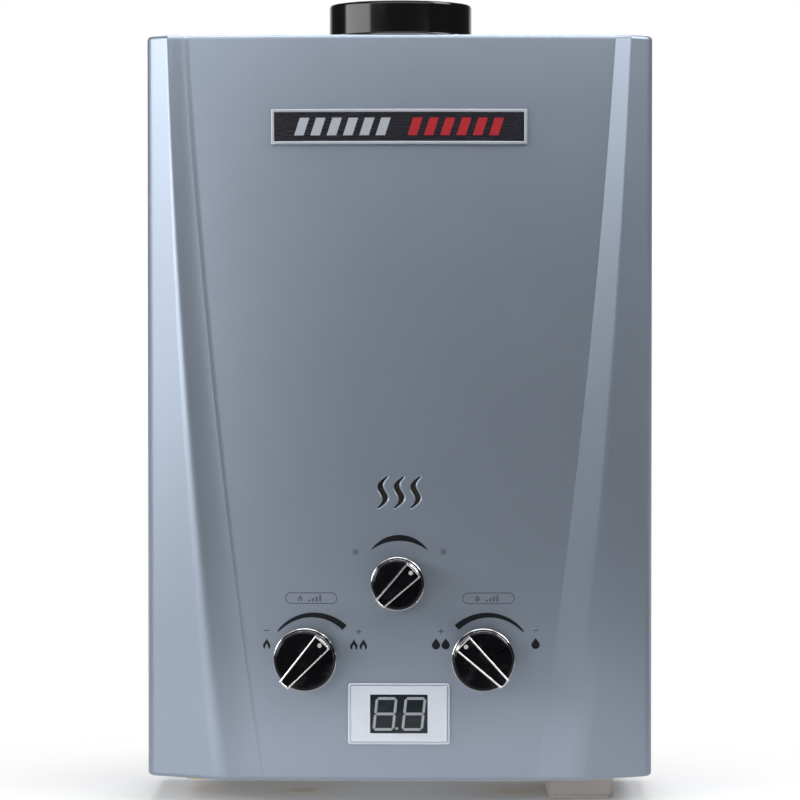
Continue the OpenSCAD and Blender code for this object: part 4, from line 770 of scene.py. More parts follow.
class Form:
    """Points in millimetres and the faces between them."""

    def __init__(self):
        self.points, self.faces = [], []

    def add(self, points, faces):
        first = len(self.points)
        self.points += [Vector(p) for p in points]
        self.faces += [[first + i for i in face] for face in faces]
        return self

    def loft(self, rows, ring=False):
        """Skin over closed rows of points, with a cap on each end. A ring joins the last row
        to the first instead."""
        n = len(rows[0])
        faces = []
        for j in range(len(rows) if ring else len(rows) - 1):
            a, b = j * n, (j + 1) % len(rows) * n
            faces += [(a + i, a + (i + 1) % n, b + (i + 1) % n, b + i) for i in range(n)]
        if not ring:
            last = (len(rows) - 1) * n
            faces += [tuple(range(n - 1, -1, -1)), tuple(range(last, last + n))]
        return self.add([p for row in rows for p in row], faces)

    def stack(self, layers, ring=False):
        """Loft over flat outlines, each given as (outline, height)."""
        return self.loft([[(p[0], p[1], z) for p in outline] for outline, z in layers], ring)

    def lathe(self, profile, sides=96, ring=False, at=(0, 0)):
        """Turned form from (radius, height) points about the upright axis."""
        return self.stack([(circle(max(r, 1e-4), sides, at), z) for r, z in profile], ring)

    def moved(self, matrix):
        self.points = [matrix @ p for p in self.points]
        return self

    def join(self, other):
        return self.add(other.points, other.faces)

    def piece(self, name, body, surface, slot, sharp=50, replaces=(), even=True):
        """A finished object in metres that rides on a body."""
        mesh = bpy.data.meshes.new(name)
        made = bmesh.new()
        points = [made.verts.new(p * MM) for p in self.points]
        for face in self.faces:
            made.faces.new([points[i] for i in face])
        bmesh.ops.remove_doubles(made, verts=made.verts, dist=2e-7)
        bmesh.ops.dissolve_degenerate(made, edges=made.edges, dist=1e-7)
        bmesh.ops.recalc_face_normals(made, faces=made.faces)
        limit = math.radians(sharp)
        for face in made.faces:
            face.smooth = True
        for edge in made.edges:
            edge.smooth = not edge.is_manifold or edge.calc_face_angle() < limit
        made.to_mesh(mesh)
        made.free()
        item = bpy.data.objects.new(name, mesh)
        bpy.context.scene.collection.objects.link(item)
        mesh.materials.append(finish(surface))
        if even:
            item.modifiers.new("even_shading", "WEIGHTED_NORMAL").keep_sharp = True
        if body:
            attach(item, body)
        if replaces:
            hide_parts(*replaces)
        return item


def prism(outline, low, high):
    return Form().stack([(outline, low), (outline, high)])


def subtract(item, tools, crossing=False):
    """Cuts the tools out of an object and turns its modifiers into its mesh. Crossing says
    that the solids of either one run into each other."""
    cut = item.modifiers.new("cuts", "BOOLEAN")
    cut.operation, cut.solver, cut.object = "DIFFERENCE", "EXACT", tools
    cut.use_self = crossing
    bpy.context.view_layer.update()
    shown = item.evaluated_get(bpy.context.evaluated_depsgraph_get())
    mesh = bpy.data.meshes.new_from_object(shown)
    item.modifiers.clear()
    item.data = mesh
    bpy.data.objects.remove(tools)


def casing_form():
    return CasingForm(measures(bpy.context.scene.heater_casing))


def slots_middle():
    """Height of the flame slots' middle: the mica pane behind them is centred on it."""
    low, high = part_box("flame_window")
    return (low.z + high.z) / 2 / MM


def axle(joint):
    """A knob's axle as (x, z) in millimetres."""
    x, _, z = JOINTS[joint]["pos_m"]
    return x / MM, z / MM


# Depth of the flue's axis, which the burner and the exchanger share
CORE_Y = (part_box("flue_collar")[0].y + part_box("flue_collar")[1].y) / 2 / MM


# Casing

# Radii of the holes for a knob's spindle and for a cover screw
KNOB_HOLE = 7
SCREW_HOLE = 2.2
# Cover screws, sideways: from the middle below, and from a side on top
SCREW_INSET = 45
# Their depth: from the wall on top, and in front of the flat sides below
SCREW_FROM_WALL = 7
SCREW_PAST_SIDES = 2
# The bezel's neck behind its plate: how much wider and higher it is than the window
NECK = (15.4, 5.4)
NECK_GAP = 0.3
# How far the bottom lip reaches in behind the flat sides' front
LIP_DEPTH = 4


def screw_spots(form):
    """Each cover screw's place, and 1 where it goes in from above or -1 from below."""
    for side in (-1, 1):
        front = -(form.s.side_depth + SCREW_PAST_SIDES)
        yield Vector((side * SCREW_INSET, front, -form.top)), -1
        yield Vector((side * (form.half - SCREW_INSET), -SCREW_FROM_WALL, form.top)), 1


def shell_form(form):
    """The folded sheet as one skin: wall, top and the lip under it."""
    rows = [form.row(*station) for station in form.stations()]
    n = len(rows[0])
    faces = [(j * n + i, (j + 1) * n + i, (j + 1) * n + i + 1, j * n + i + 1)
             for j in range(len(rows) - 1) for i in range(n - 1)]
    skin = Form().add([p for row in rows for p, _, _ in row], faces)
    last = (len(rows) - 1) * n
    inner, front, back = form.half - form.s.lip, LIP_DEPTH - form.s.side_depth, -form.REAR_GAP
    first = len(skin.points)
    skin.points += [Vector((x, y, -form.top)) for x, y in (
        (inner, back), (inner, front), (-inner, front), (-inner, back))]
    skin.faces.append(list(range(n)))
    skin.faces.append(list(range(last, last + n)) + list(range(first, first + 4)))
    return skin, rows


def casing_cutters(form, controls):
    """Everything that is cut out of the sheet, as one form."""
    s = form.s
    tools = Form()
    forward = Matrix.Rotation(math.pi / 2, 4, "X")
    # Distances from the wall between which the tools for the front reach
    near, far = 80, 140
    slots_z = slots_middle()
    for i in (-1, 0, 1):
        outline = [p + Vector((i * s.slot_pitch, slots_z)) for p in form.slot(s.slot_roll)]
        tools.join(prism(outline, near, far).moved(forward))
    for joint in ("flame_turn", "water_turn", "season_turn"):
        tools.join(prism(circle(KNOB_HOLE, 48, axle(joint)), near, far).moved(forward))
    width, height = (side + 2 * NECK_GAP for side in NECK)
    opening = rounded_rect(controls.window_width + width, controls.window_height + height, 1)
    tools.join(prism(opening, -10, 10).moved(form.stand(controls.display_z)))
    flue = circle(s.collar_width / 2 + 0.5, 128, (0, CORE_Y))
    tools.join(prism(flue, form.top - 10, form.top + 10))
    for spot, _ in screw_spots(form):
        tools.join(prism(circle(SCREW_HOLE, 32, spot), spot.z - 3, spot.z + 3))
    return tools


def true_normals(item, form, rows):
    """Gives the skin's corners the normals that its rows were worked out with."""
    # Distances within which a corner is a known point and a face lies on the panel, and how
    # nearly a normal has to point the face's way
    same_point, same_surface, same_way = 0.005, 0.25, 0.6
    known = [entry for row in rows for entry in row]
    tree = KDTree(len(known))
    for i, (point, _, _) in enumerate(known):
        tree.insert(point * MM, i)
    tree.balance()
    mesh = item.data
    match = []
    for vertex in mesh.vertices:
        _, i, gap = tree.find(vertex.co)
        match.append(i if gap < same_point * MM else None)
    # A zero leaves a corner its normal
    normals = [Vector((0, 0, 0))] * len(mesh.loops)
    for face in mesh.polygons:
        centre = face.center / MM
        on_panel = abs(centre.x) < form.inner(max(-form.top, min(form.top, centre.z)))
        rise = abs(centre.y - form.panel_y(centre.x, centre.z))
        on_skin = on_panel and rise < same_surface
        for loop in face.loop_indices:
            v = mesh.loops[loop].vertex_index
            i = match[v]
            normal = None
            if i is not None:
                point, before, after = known[i]
                # On the left half the two normals of a crease change places here, which
                # shades the left crease softer than the right one
                normal = before if on_panel == (point.x > 0) else after
            elif on_skin:
                normal = form.panel_normal(mesh.vertices[v].co.x / MM)
            if normal is not None and normal.dot(face.normal) > same_way:
                normals[loop] = normal.normalized()
    mesh.normals_split_custom_set(normals)


class HEATER_OT_casing(bpy.types.Operator):
    """Build the folded front casing with its creases and openings"""
    bl_idname = "heater.casing"
    bl_label = "Casing"

    def execute(self, context):
        form = casing_form()
        controls = measures(context.scene.heater_controls)
        skin, rows = shell_form(form)
        shell = skin.piece("casing_shell", "chassis", "lacquer", "silver_paint",
                           even=False, replaces=["front_cover"])
        thick = shell.modifiers.new("sheet", "SOLIDIFY")
        thick.thickness, thick.offset, thick.use_even_offset = form.s.sheet * MM, -1, True
        tools = casing_cutters(form, controls).piece("cutters", None, "lacquer", None, even=False)
        subtract(shell, tools)
        mark_creases(shell, form)
        true_normals(shell, form, rows)
        return {"FINISHED"}


def mark_creases(item, form):
    """Sharp edges: the panel's creases, and wherever two faces meet at a clear angle."""
    made = bmesh.new()
    made.from_mesh(item.data)
    for edge in made.edges:
        sides = [abs(f.calc_center_median().x / MM) < form.inner(f.calc_center_median().z / MM)
                 for f in edge.link_faces]
        crease = sides[0] != sides[1] and all(abs(v.co.z / MM) < form.top for v in edge.verts)
        edge.smooth = not crease and edge.calc_face_angle() < math.radians(40)
    for face in made.faces:
        face.smooth = True
    made.to_mesh(item.data)
    made.free()


class HEATER_OT_slot_rims(bpy.types.Operator):
    """Roll the sheet's edge in round the three flame slots"""
    bl_idname = "heater.slot_rims"
    bl_label = "Slot rims"

    def execute(self, context):
        form = casing_form()
        roll = form.s.slot_roll
        arc = [(roll * (1 - math.sin(a)), roll * (1 - math.cos(a))) for a in quarter_turn()]
        # Each line of the rim: outward from the slot, and depth under the panel
        profile = [(roll + 0.25, 0.1), *arc, (0, roll + 0.9), (0.5, roll + 0.9), (0.7, roll),
                   (roll + 0.25, 0.9)]
        rims = Form()
        middle = slots_middle()
        for i in (-1, 0, 1):
            rows = []
            for outward, depth in profile:
                rows.append([form.on_panel(p.x + i * form.s.slot_pitch, p.y + middle, -depth)
                             for p in form.slot(outward)])
            rims.loft(rows, ring=True)
        rims.piece("flame_slot_rims", "chassis", "lacquer", "silver_paint", sharp=60)
        return {"FINISHED"}


# Flue collar

class HEATER_OT_flue_collar(bpy.types.Operator):
    """Turn the enamelled flue collar and the screws in its flange"""
    bl_idname = "heater.flue_collar"
    bl_label = "Flue collar"

    FLANGE_RISE = 1
    SCREWS = 4
    # Distances past the collar's wall: the flange's edge and the middles of its screws
    FLANGE = 7
    SCREW_REACH = 4.5

    def execute(self, context):
        form = casing_form()
        s = form.s
        r, top = s.collar_width / 2, form.top + s.collar_rise
        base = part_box("flue_collar")[0].z / MM
        inner, outer = r - s.collar_wall, r + self.FLANGE
        seat, flange = form.top, form.top + self.FLANGE_RISE
        curl = [(r - 0.8 + 0.8 * math.cos(a), top - 2 + 2 * math.sin(a)) for a in quarter_turn()]
        profile = [(inner, base), (r, base), (r, seat), (outer - 0.2, seat), (outer, seat + 0.2),
                   (outer, flange - 0.2), (outer - 0.2, flange), (r + 2, flange),
                   (r + 0.7, flange + 0.6), (r, flange + 2),
                   *curl, (inner + 0.2, top - 0.1), (inner, top - 0.6)]
        collar = Form().lathe(profile, 144, ring=True)
        collar.moved(Matrix.Translation((0, CORE_Y, 0)))
        collar.piece("flue_collar_shell", "chassis", "enamel", "black_enamel",
                     replaces=["flue_collar"])
        screws = Form()
        for i in range(self.SCREWS):
            a = math.pi / 4 + 2 * math.pi / self.SCREWS * i
            spot = (r + self.SCREW_REACH) * Vector((math.cos(a), math.sin(a)))
            place = Matrix.Translation((spot.x, spot.y + CORE_Y, flange))
            screws.join(screw_form(2.2, 1.1, 3, 1.1).moved(place))
        screws.piece("collar_screws", "chassis", "zinc", "zinc", sharp=30)
        return {"FINISHED"}


def screw_form(head, rise, shank, shank_r):
    """Pan head of that radius and rise, standing on z = 0, and its plain shank below."""
    return Form().lathe([(0, -shank), (shank_r, -shank), (shank_r, 0), (head, 0), (head, rise * 0.3),
                         (head * 0.88, rise * 0.72), (head * 0.6, rise * 0.95), (0, rise)], 32)


# Badge

def strip_form(form, width, height, z, low, high, bevel, steps=24):
    """A flat bar that follows the panel's bow, its top edges chamfered."""
    rows = []
    stand = form.stand(z)
    for i in range(steps + 1):
        x = width * (i / steps - 0.5)
        end = bevel if i in (0, steps) else 0
        sink = -form.bow(x)
        y = height / 2
        rows.append([stand @ Vector(p) for p in (
            (x, -y, low + sink), (x, y, low + sink), (x, y, high - bevel + sink),
            (x, y - bevel, high + sink - end), (x, -y + bevel, high + sink - end),
            (x, -y, high - bevel + sink))])
    return Form().loft(rows)


class HEATER_OT_badge(bpy.types.Operator):
    """Build the badge plate: a bright rim round a dark field with plain slanted stripes"""
    bl_idname = "heater.badge"
    bl_label = "Badge"

    RIM = 1.8
    # Heights over the panel: the rim's underside and the floor that the field lies on
    PAD = 0.15
    FLOOR = 1.0
    # How far the field lies below the rim's top
    STEP = 0.5
    # Stripes on each half: how many, first one's place, pitch, width, height, lean
    STRIPES = (6, 9.4, 9.6, 5.6, 10.4, 3.4)

    def execute(self, context):
        form = casing_form()
        c = measures(context.scene.heater_controls)
        rim, z, rise = self.RIM, c.badge_z, c.badge_rise
        stand = form.stand(z)
        w, h = c.badge_width, c.badge_height
        # Each ring of the rim: inset from the outer edge, and height over the panel
        profile = [(0, self.PAD), (0, rise - 0.5), (0.15, rise - 0.15), (0.5, rise), (rim - 0.5, rise),
                   (rim - 0.15, rise - 0.15), (rim, rise - 0.5), (rim, self.FLOOR),
                   (rim + 1, self.FLOOR), (rim + 1, self.PAD)]
        rows = []
        for inset, lift in profile:
            outline = frame_outline(w - 2 * inset, h - 2 * inset, 40)
            rows.append([stand @ Vector((p.x, p.y, lift - form.bow(p.x))) for p in outline])
        Form().loft(rows, ring=True).piece(
            "badge_rim", "chassis", "satin", "chrome_trim", replaces=["badge_frame"])
        gap, top = 2 * rim + 0.1, rise - self.STEP
        strip_form(form, w - gap, h - gap, z, self.FLOOR - 0.3, top, 0.2).piece(
            "badge_field", "chassis", "badge", "gloss_black", replaces=["badge_inlay"])
        for name, side, surface in (("silver_stripes", -1, "satin"), ("red_stripes", 1, "red")):
            self.stripes(form, stand, side, top).piece(name, "chassis", surface, "chrome_trim")
        return {"FINISHED"}

    def stripes(self, form, stand, side, top):
        """Slanted bars on one half of the field, a little proud of it."""
        count, first, pitch, width, height, lean = self.STRIPES
        made = Form()
        for i in range(count):
            middle = side * (first + pitch * i)
            outline = [Vector((middle + across * width / 2 + up * lean / 2, up * height / 2))
                       for across, up in ((-1, -1), (1, -1), (1, 1), (-1, 1))]
            made.loft([[stand @ Vector((p.x, p.y, lift - form.bow(p.x))) for p in outline]
                       for lift in (top - 0.1, top + 0.25)])
        return made


def frame_outline(width, height, steps):
    """Rectangle with points all along its long sides, counter-clockwise."""
    xs = [width * (i / steps - 0.5) for i in range(steps + 1)]
    return ([Vector((x, -height / 2)) for x in xs] + [Vector((x, height / 2)) for x in reversed(xs)])


# Display

class HEATER_OT_display(bpy.types.Operator):
    """Build the display's stepped bezel, its window and its two unlit digits"""
    bl_idname = "heater.display"
    bl_label = "Display"

    LENS = 1.5
    STROKE = 1.55
    # Gap between two segments, and how far the segments stand out of the window
    HAIR = 0.12
    FILM = 0.06
    # Middle and width of each digit
    DIGITS = ((-8.2, 11.3), (8.8, 11.2))
    DIGIT_HEIGHT = 18.2
    SLANT = 0.107
    DOT = (-1.3, -8.6)
    DOT_RADIUS = 0.8
    # Each ring of the plate from its back: how much smaller than the bezel, and its height
    EDGE = ((0, 0), (0, 0.75), (0.25, 1.0), (0.7, 1.2), (2.2, 1.2), (2.4, 1.05), (2.5, 0.6),
            (3.2, 0.6), (3.2, 1.8))

    def execute(self, context):
        form = casing_form()
        c = measures(context.scene.heater_controls)
        stand = form.stand(c.display_z)
        w, h, rise = c.bezel_width, c.bezel_height, c.bezel_rise
        ww, wh = c.window_width, c.window_height
        neck = rounded_rect(ww + NECK[0], wh + NECK[1], 0.8)
        layers = [(neck, -4), (neck, 0)]
        layers += [(rounded_rect(w - inset, h - inset, max(0.4, 1.5 - inset / 2)), lift)
                   for inset, lift in (*self.EDGE, (3.45, rise - 0.1), (3.9, rise))]
        # Rings round the window, from the front back: how much larger than it, and height
        layers += [(rounded_rect(ww + margin, wh + margin, 0.4), lift)
                   for margin, lift in ((0.9, rise), (0.4, rise - 0.12), (0.15, rise - 0.4),
                                        (0.1, 0.4), (-2, 0.4), (-2, -4))]
        Form().stack(layers, ring=True).moved(stand).piece(
            "display_plate", "chassis", "bezel", "silver_bezel", replaces=["display_bezel"])
        face = rise - 0.3
        glass = Form().stack([
            (rounded_rect(ww - 0.1, wh - 0.1, 0.35), face - self.LENS),
            (rounded_rect(ww - 0.1, wh - 0.1, 0.35), face - 0.15),
            (rounded_rect(ww - 0.5, wh - 0.5, 0.3), face)])
        glass.moved(stand).piece("display_window", "chassis", "window", "display_glass",
                                 sharp=50, replaces=["display_lens"])
        digits = Form()
        for x, width in self.DIGITS:
            digits.join(self.digit(x, width))
        digits.join(prism(circle(self.DOT_RADIUS, 24, self.DOT), 0, self.FILM))
        digits.moved(stand @ Matrix.Translation((0, 0, face - 0.01)))
        digits.piece("display_digits", "chassis", "segment", "display_glass", sharp=30)
        return {"FINISHED"}

    def digit(self, x, width):
        """A leaning figure of eight in thin strokes, all seven segments."""
        lean = Matrix(((1, self.SLANT, 0, x), (0, 1, 0, 0), (0, 0, 1, 0), (0, 0, 0, 1)))
        half_w, half_h = width / 2, self.DIGIT_HEIGHT / 2
        form = Form()
        for y in (-half_h, 0, half_h):
            form.join(self.segment(Vector((-half_w, y)), Vector((half_w, y))))
        for side in (-half_w, half_w):
            form.join(self.segment(Vector((side, -half_h)), Vector((side, 0))))
            form.join(self.segment(Vector((side, 0)), Vector((side, half_h))))
        return form.moved(lean)

    def segment(self, a, b):
        """One pointed bar of a digit, with a hair's breadth left free at both ends."""
        along = (b - a).normalized()
        half = Vector((-along.y, along.x)) * self.STROKE / 2
        point = along * (self.STROKE / 2 + self.HAIR)
        a, b = a + along * self.HAIR, b - along * self.HAIR
        return prism([a, a + point - half, b - point - half, b,
                      b - point + half, a + point + half], 0, self.FILM)


# Knobs

# How far the grip's ends stay inside the skirt's edge
GRIP_INSET = 0.6
# Distances of the bright bar's two edges from the skirt's edge, at the pointer's end
HEAD_BAR = (0.5, 2.1)
# Wall of the skirt, radii of the hub and of the spindle's hole, height of the hub's floor
SKIRT_WALL = 1.8
HUB = 5.5
SPINDLE_HOLE = 3.1
# The band's half-round top: share of its width, and depth under the grip's top
ROUND_TOP = ((0, 0.55), (0.04, 0.3), (0.16, 0.11), (0.33, 0.02), (0.5, 0), (0.67, 0.02),
             (0.84, 0.11), (0.96, 0.3), (1, 0.55))
# The bright ring round the skirt's foot: distance past the skirt, and height
FOOT_RING = ((0, 0), (0.45, 0), (0.5, 0.5), (0.5, 1.1), (0.38, 1.5), (0.15, 1.75), (0, 1.8))
DOT_RADIUS = 1.3
DOT_INSET = 4


def grip_outline(c, radius, inset, head_inset, steps=14):
    """A grip from above: narrow tail below, wide head above. The tail ends on a circle, and
    the head is cut straight or by the same circle."""
    tail, head = c.tail / 2 - inset, c.head / 2 - inset
    rim = radius - GRIP_INSET - inset
    low, top = inset - radius, radius - head_inset

    def width(y):
        return tail + (head - tail) * (y - low) / (top - low)

    def arc(reach):
        return [reach * (1 - 2 * i / steps) for i in range(steps + 1)]

    head_foot = min(top, math.sqrt(rim ** 2 - width(top) ** 2))
    tail_reach = math.asin(min(1, width(-rim) / rim))
    head_reach = math.asin(min(1, width(head_foot) / rim))
    return ([Vector((-rim * math.sin(a), -rim * math.cos(a))) for a in arc(tail_reach)]
            + [Vector((rim * math.sin(a), min(top, rim * math.cos(a)))) for a in arc(head_reach)])


def knob_pieces(name, body, joint, radius, pointer, c):
    """One knob: black skirt and grip, bright band and foot ring, and the pointer's dot."""
    x, z = axle(joint)
    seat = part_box(name)[1].y / MM
    spot = (Matrix.Translation((x, seat, z)) @ Matrix.Rotation(math.pi / 2, 4, "X")
            @ Matrix.Rotation(-pointer, 4, "Z"))
    skirt, top = c.skirt, c.grip
    floor, cavity = skirt - 2.2, radius - SKIRT_WALL
    fillet = [(radius - 2.4 + 1.6 * math.sin(a), skirt - 1.6 * (1 - math.cos(a)))
              for a in quarter_turn()]
    profile = [(0, skirt), *fillet, (radius - 0.5, 2.6), (radius, 2.3), (radius, 0), (cavity, 0),
               (cavity, floor), (HUB, floor), (HUB, 0), (SPINDLE_HOLE, 0), (SPINDLE_HOLE, skirt - 2),
               (0, skirt - 2)]
    Form().lathe(profile).moved(spot).piece(
        f"{name}_skirt", body, "black", "gloss_black", sharp=40)
    outer, inner = HEAD_BAR
    # Each layer of the grip: how far its edges are drawn in, and its height
    core = Form().stack([(grip_outline(c, radius, c.trim + drawn_in, inner + drawn_in), height)
                         for drawn_in, height in ((0, skirt - 1), (0, top - 0.9), (0.35, top - 0.4))])
    core.moved(spot).piece(f"{name}_core", body, "black", "gloss_black", replaces=[name])
    band = [(grip_outline(c, radius, c.trim, inner), skirt - 0.2),
            (grip_outline(c, radius, 0, outer), skirt - 0.2)]
    band += [(grip_outline(c, radius, c.trim * t, outer + (inner - outer) * t), top - depth)
             for t, depth in ROUND_TOP]
    bright = Form().stack(band, ring=True)
    bright.lathe([(radius + past, height) for past, height in FOOT_RING], ring=True)
    bright.moved(spot).piece(f"{name}_bright", body, "chrome", "chrome_trim",
                             replaces=[f"{name}_trim"])
    dot = Form().lathe([(0, top - 0.6), (DOT_RADIUS, top - 0.6), (DOT_RADIUS, top - 0.36),
                        (DOT_RADIUS - 0.2, top - 0.3), (0, top - 0.28)], 24,
                       at=(0, radius - DOT_INSET))
    dot.moved(spot).piece(f"{name}_dot", body, "dot", "chrome_trim", sharp=60)


class HEATER_OT_knobs(bpy.types.Operator):
    """Build the flame, water and season knobs"""
    bl_idname = "heater.knobs"
    bl_label = "Knobs"

    def execute(self, context):
        c = measures(context.scene.heater_controls)
        for kind, radius, pointer in (("flame", c.knob, c.flame_pointer),
                                      ("water", c.knob, c.water_pointer),
                                      ("season", c.season_knob, c.season_pointer)):
            knob_pieces(f"{kind}_knob", f"{kind}_control", f"{kind}_turn", radius, pointer, c)
        return {"FINISHED"}


# Printing

def flame_mark(width, height):
    """Generic flame: a leaning outer tongue round a pale core that is open below."""
    points = [(0.06, 0.5), (0.1, 0.34), (0.24, 0.16), (0.42, -0.02), (0.5, -0.2), (0.47, -0.36),
              (0.34, -0.49), (0.2, -0.5), (0.22, -0.32), (0.12, -0.16), (0.0, -0.02), (-0.13, -0.16),
              (-0.22, -0.32), (-0.2, -0.5), (-0.34, -0.49), (-0.47, -0.36), (-0.5, -0.18),
              (-0.4, 0.02), (-0.22, 0.16), (-0.08, 0.32)]
    return [Vector((x * width, y * height)) for x, y in reversed(points)]


def drop_mark(width, height, steps=20):
    """Water drop: a circle drawn up to a point."""
    found = []
    for i in range(steps):
        a = 2 * math.pi * i / steps
        tip = max(0.0, math.sin(a)) ** 3
        found.append(Vector((math.cos(a) * width / 2 * (1 - 0.75 * tip),
                             -height / 2 + width / 2 + math.sin(a) * width / 2
                             + tip * (height - width))))
    return found


def arc_mark(radius, start, end, width_start, width_end, steps=40):
    """Tapered arc over a knob, angles clockwise from straight up."""
    outer, inner = [], []
    for i in range(steps + 1):
        t = i / steps
        a = math.radians(start + (end - start) * t)
        share = t if width_end > width_start else 1 - t
        thin, thick = sorted((width_start, width_end))
        half = (thin + (thick - thin) * math.sqrt(share)) / 2
        outer.append(Vector((math.sin(a), math.cos(a))) * (radius + half))
        inner.append(Vector((math.sin(a), math.cos(a))) * (radius - half))
    return inner, outer


def crescent_mark(half_chord, outer_rise, inner_rise, steps=40):
    """Crescent between two arcs over one chord."""
    lines = []
    for rise in (inner_rise, outer_rise):
        radius = (half_chord ** 2 + rise ** 2) / (2 * rise)
        reach = math.asin(half_chord / radius)
        lines.append([Vector((radius * math.sin(a), radius * math.cos(a) - radius + rise))
                      for a in (reach * (2 * i / steps - 1) for i in range(steps + 1))])
    return lines


def divided(outline, longest=1.5):
    """The closed outline with its long edges cut up, so that it can follow a curve."""
    found = []
    for i, a in enumerate(outline):
        b = outline[(i + 1) % len(outline)]
        parts = max(1, math.ceil((b - a).length / longest))
        found += [a.lerp(b, k / parts) for k in range(parts)]
    return found


def pill_mark(width, height, stroke, steps=12):
    """Outline of a label with round ends."""
    outer = divided(rounded_rect(width, height, height / 2 - 0.01, steps))
    inner = grown(outer, -stroke)
    return inner + inner[:1], outer + outer[:1]


def bar_mark(way, near, far, width):
    """Straight bar on a ray from the middle, its angle in degrees."""
    a = math.radians(way)
    along, across = Vector((math.cos(a), math.sin(a))), Vector((-math.sin(a), math.cos(a)))
    return [along * reach + across * side * width / 2
            for reach, side in ((near, -1), (far, -1), (far, 1), (near, 1))]


def star_mark(arms, reach, width):
    """Straight bars that meet in the middle, drawn as one outline."""
    found = []
    notch = width / 2 / math.sin(math.pi / arms)
    for i in range(arms):
        way = 360 / arms * i + 90
        bar = bar_mark(way, 0, reach, width)
        corner = math.radians(way + 180 / arms)
        found += [bar[1], bar[2], Vector((math.cos(corner), math.sin(corner))) * notch]
    return found


class HEATER_OT_printing(bpy.types.Operator):
    """Print the scales, icons and label outlines on the front panel"""
    bl_idname = "heater.printing"
    bl_label = "Printing"

    # How far the ink stands out of the lacquer and reaches into it
    FILM = 0.05
    BITE = 0.02
    # Centre (x, height over the flame and water knobs), radius, from, to, widths at both ends
    ARCS = (
        (-50.7, -0.7, 26.9, -51, 43.8, 0.5, 3.7),
        (52.5, -0.8, 27.0, -43.2, 51, 3.7, 0.5),
    )
    # Middle, half the chord, and how far its outer and inner arcs rise over the chord
    CRESCENT = (0.2, 64.2, 17.0, 9.3, 5.8)
    PILLS = ((-51.8, 36.1), (52.7, 36.1))
    # Width, height and stroke
    PILL = (30.8, 6.8, 0.55)
    FLAMES = ((-78.1, 9.3), (-26.6, 9.1), (-21.0, 9.1))
    FLAME = (4.4, 6.3)
    DROPS = ((21.8, 9.3), (27.5, 9.3), (80.5, 9.4))
    DROP = (5.0, 6.5)
    # Fine grey signs: less and more beside the knobs, winter and summer over them
    LESS = ((-78.1, 16.9), (80.5, 17.1))
    MORE = ((-23.8, 16.4), (24.7, 16.7))
    SIGN = (1.6, 0.6)
    SEASONS = ((-25.6, 63.4), (26.2, 63.4))
    SNOW_ARMS = 6
    SNOW = (2.4, 0.5)
    # Radius of the disc, the rays' two ends and their width
    SUN = (1.0, 1.5, 2.4, 0.5)
    RAYS = 8
    # In the pills: sizes of the flame and the drop, and how far left of the middle they are
    ICONS = ((2.7, 4.0), (3.0, 4.0))
    ICON_OFFSET = 6.5
    # Foot of the first bar from the pill's middle, and the bars' heights, width and step
    BAR_FOOT = (-1, -2)
    BARS = (1.2, 2.1, 3.0, 3.9)
    BAR_WIDTH = 1.2
    BAR_STEP = 2.1

    def execute(self, context):
        self.form = casing_form()
        self.base = axle("flame_turn")[1]
        self.ink = Form()
        for x, z, radius, start, end, first, last in self.ARCS:
            self.band(*arc_mark(radius, start, end, first, last), x, z)
        x, z, chord, outer, inner = self.CRESCENT
        self.band(*crescent_mark(chord, outer, inner), x, z)
        for x, z in self.FLAMES:
            self.patch(flame_mark(*self.FLAME), x, z)
        for x, z in self.DROPS:
            self.patch(drop_mark(*self.DROP), x, z)
        self.ink.piece("panel_printing", "chassis", "ink", "gloss_black", sharp=30)
        self.ink = Form()
        self.signs()
        self.ink.piece("fine_printing", "chassis", "fine_ink", "gloss_black", sharp=30)
        return {"FINISHED"}

    def signs(self):
        """The fine grey signs that stand where words usually do."""
        half, width = self.SIGN
        for x, z in self.LESS:
            self.patch(bar_mark(0, -half, half, width), x, z)
        for x, z in self.MORE:
            self.patch(star_mark(4, half, width), x, z)
        self.patch(star_mark(self.SNOW_ARMS, *self.SNOW), *self.SEASONS[0])
        disc, near, far, width = self.SUN
        self.patch(circle(disc, 20), *self.SEASONS[1])
        for i in range(self.RAYS):
            self.patch(bar_mark(360 / self.RAYS * i, near, far, width), *self.SEASONS[1])
        flame, drop = self.ICONS
        for (x, z), icon in zip(self.PILLS, (flame_mark(*flame), drop_mark(*drop))):
            self.band(*pill_mark(*self.PILL), x, z)
            self.patch(icon, x - self.ICON_OFFSET, z)
            across, up = self.BAR_FOOT
            for i, rise in enumerate(self.BARS):
                bar = bar_mark(90, 0, rise, self.BAR_WIDTH)
                self.patch(bar, x + across + self.BAR_STEP * i, z + up)

    def spot(self, p, x, z, lift):
        return self.form.on_panel(p.x + x, p.y + z + self.base, lift)

    def band(self, inner, outer, x, z):
        """A strip of ink between two lines, as a thin solid."""
        rows = []
        for a, b in zip(inner, outer):
            rows.append([self.spot(p, x, z, lift) for p, lift in (
                (a, -self.BITE), (b, -self.BITE), (b, self.FILM), (a, self.FILM))])
        looped = (inner[0] - inner[-1]).length < 1e-6
        self.ink.loft(rows[:-1] if looped else rows, ring=looped)

    def patch(self, outline, x, z):
        """A filled sign of ink."""
        self.ink.loft([[self.spot(p, x, z, lift) for p in outline]
                       for lift in (-self.BITE, self.FILM)])


# Fasteners and fittings

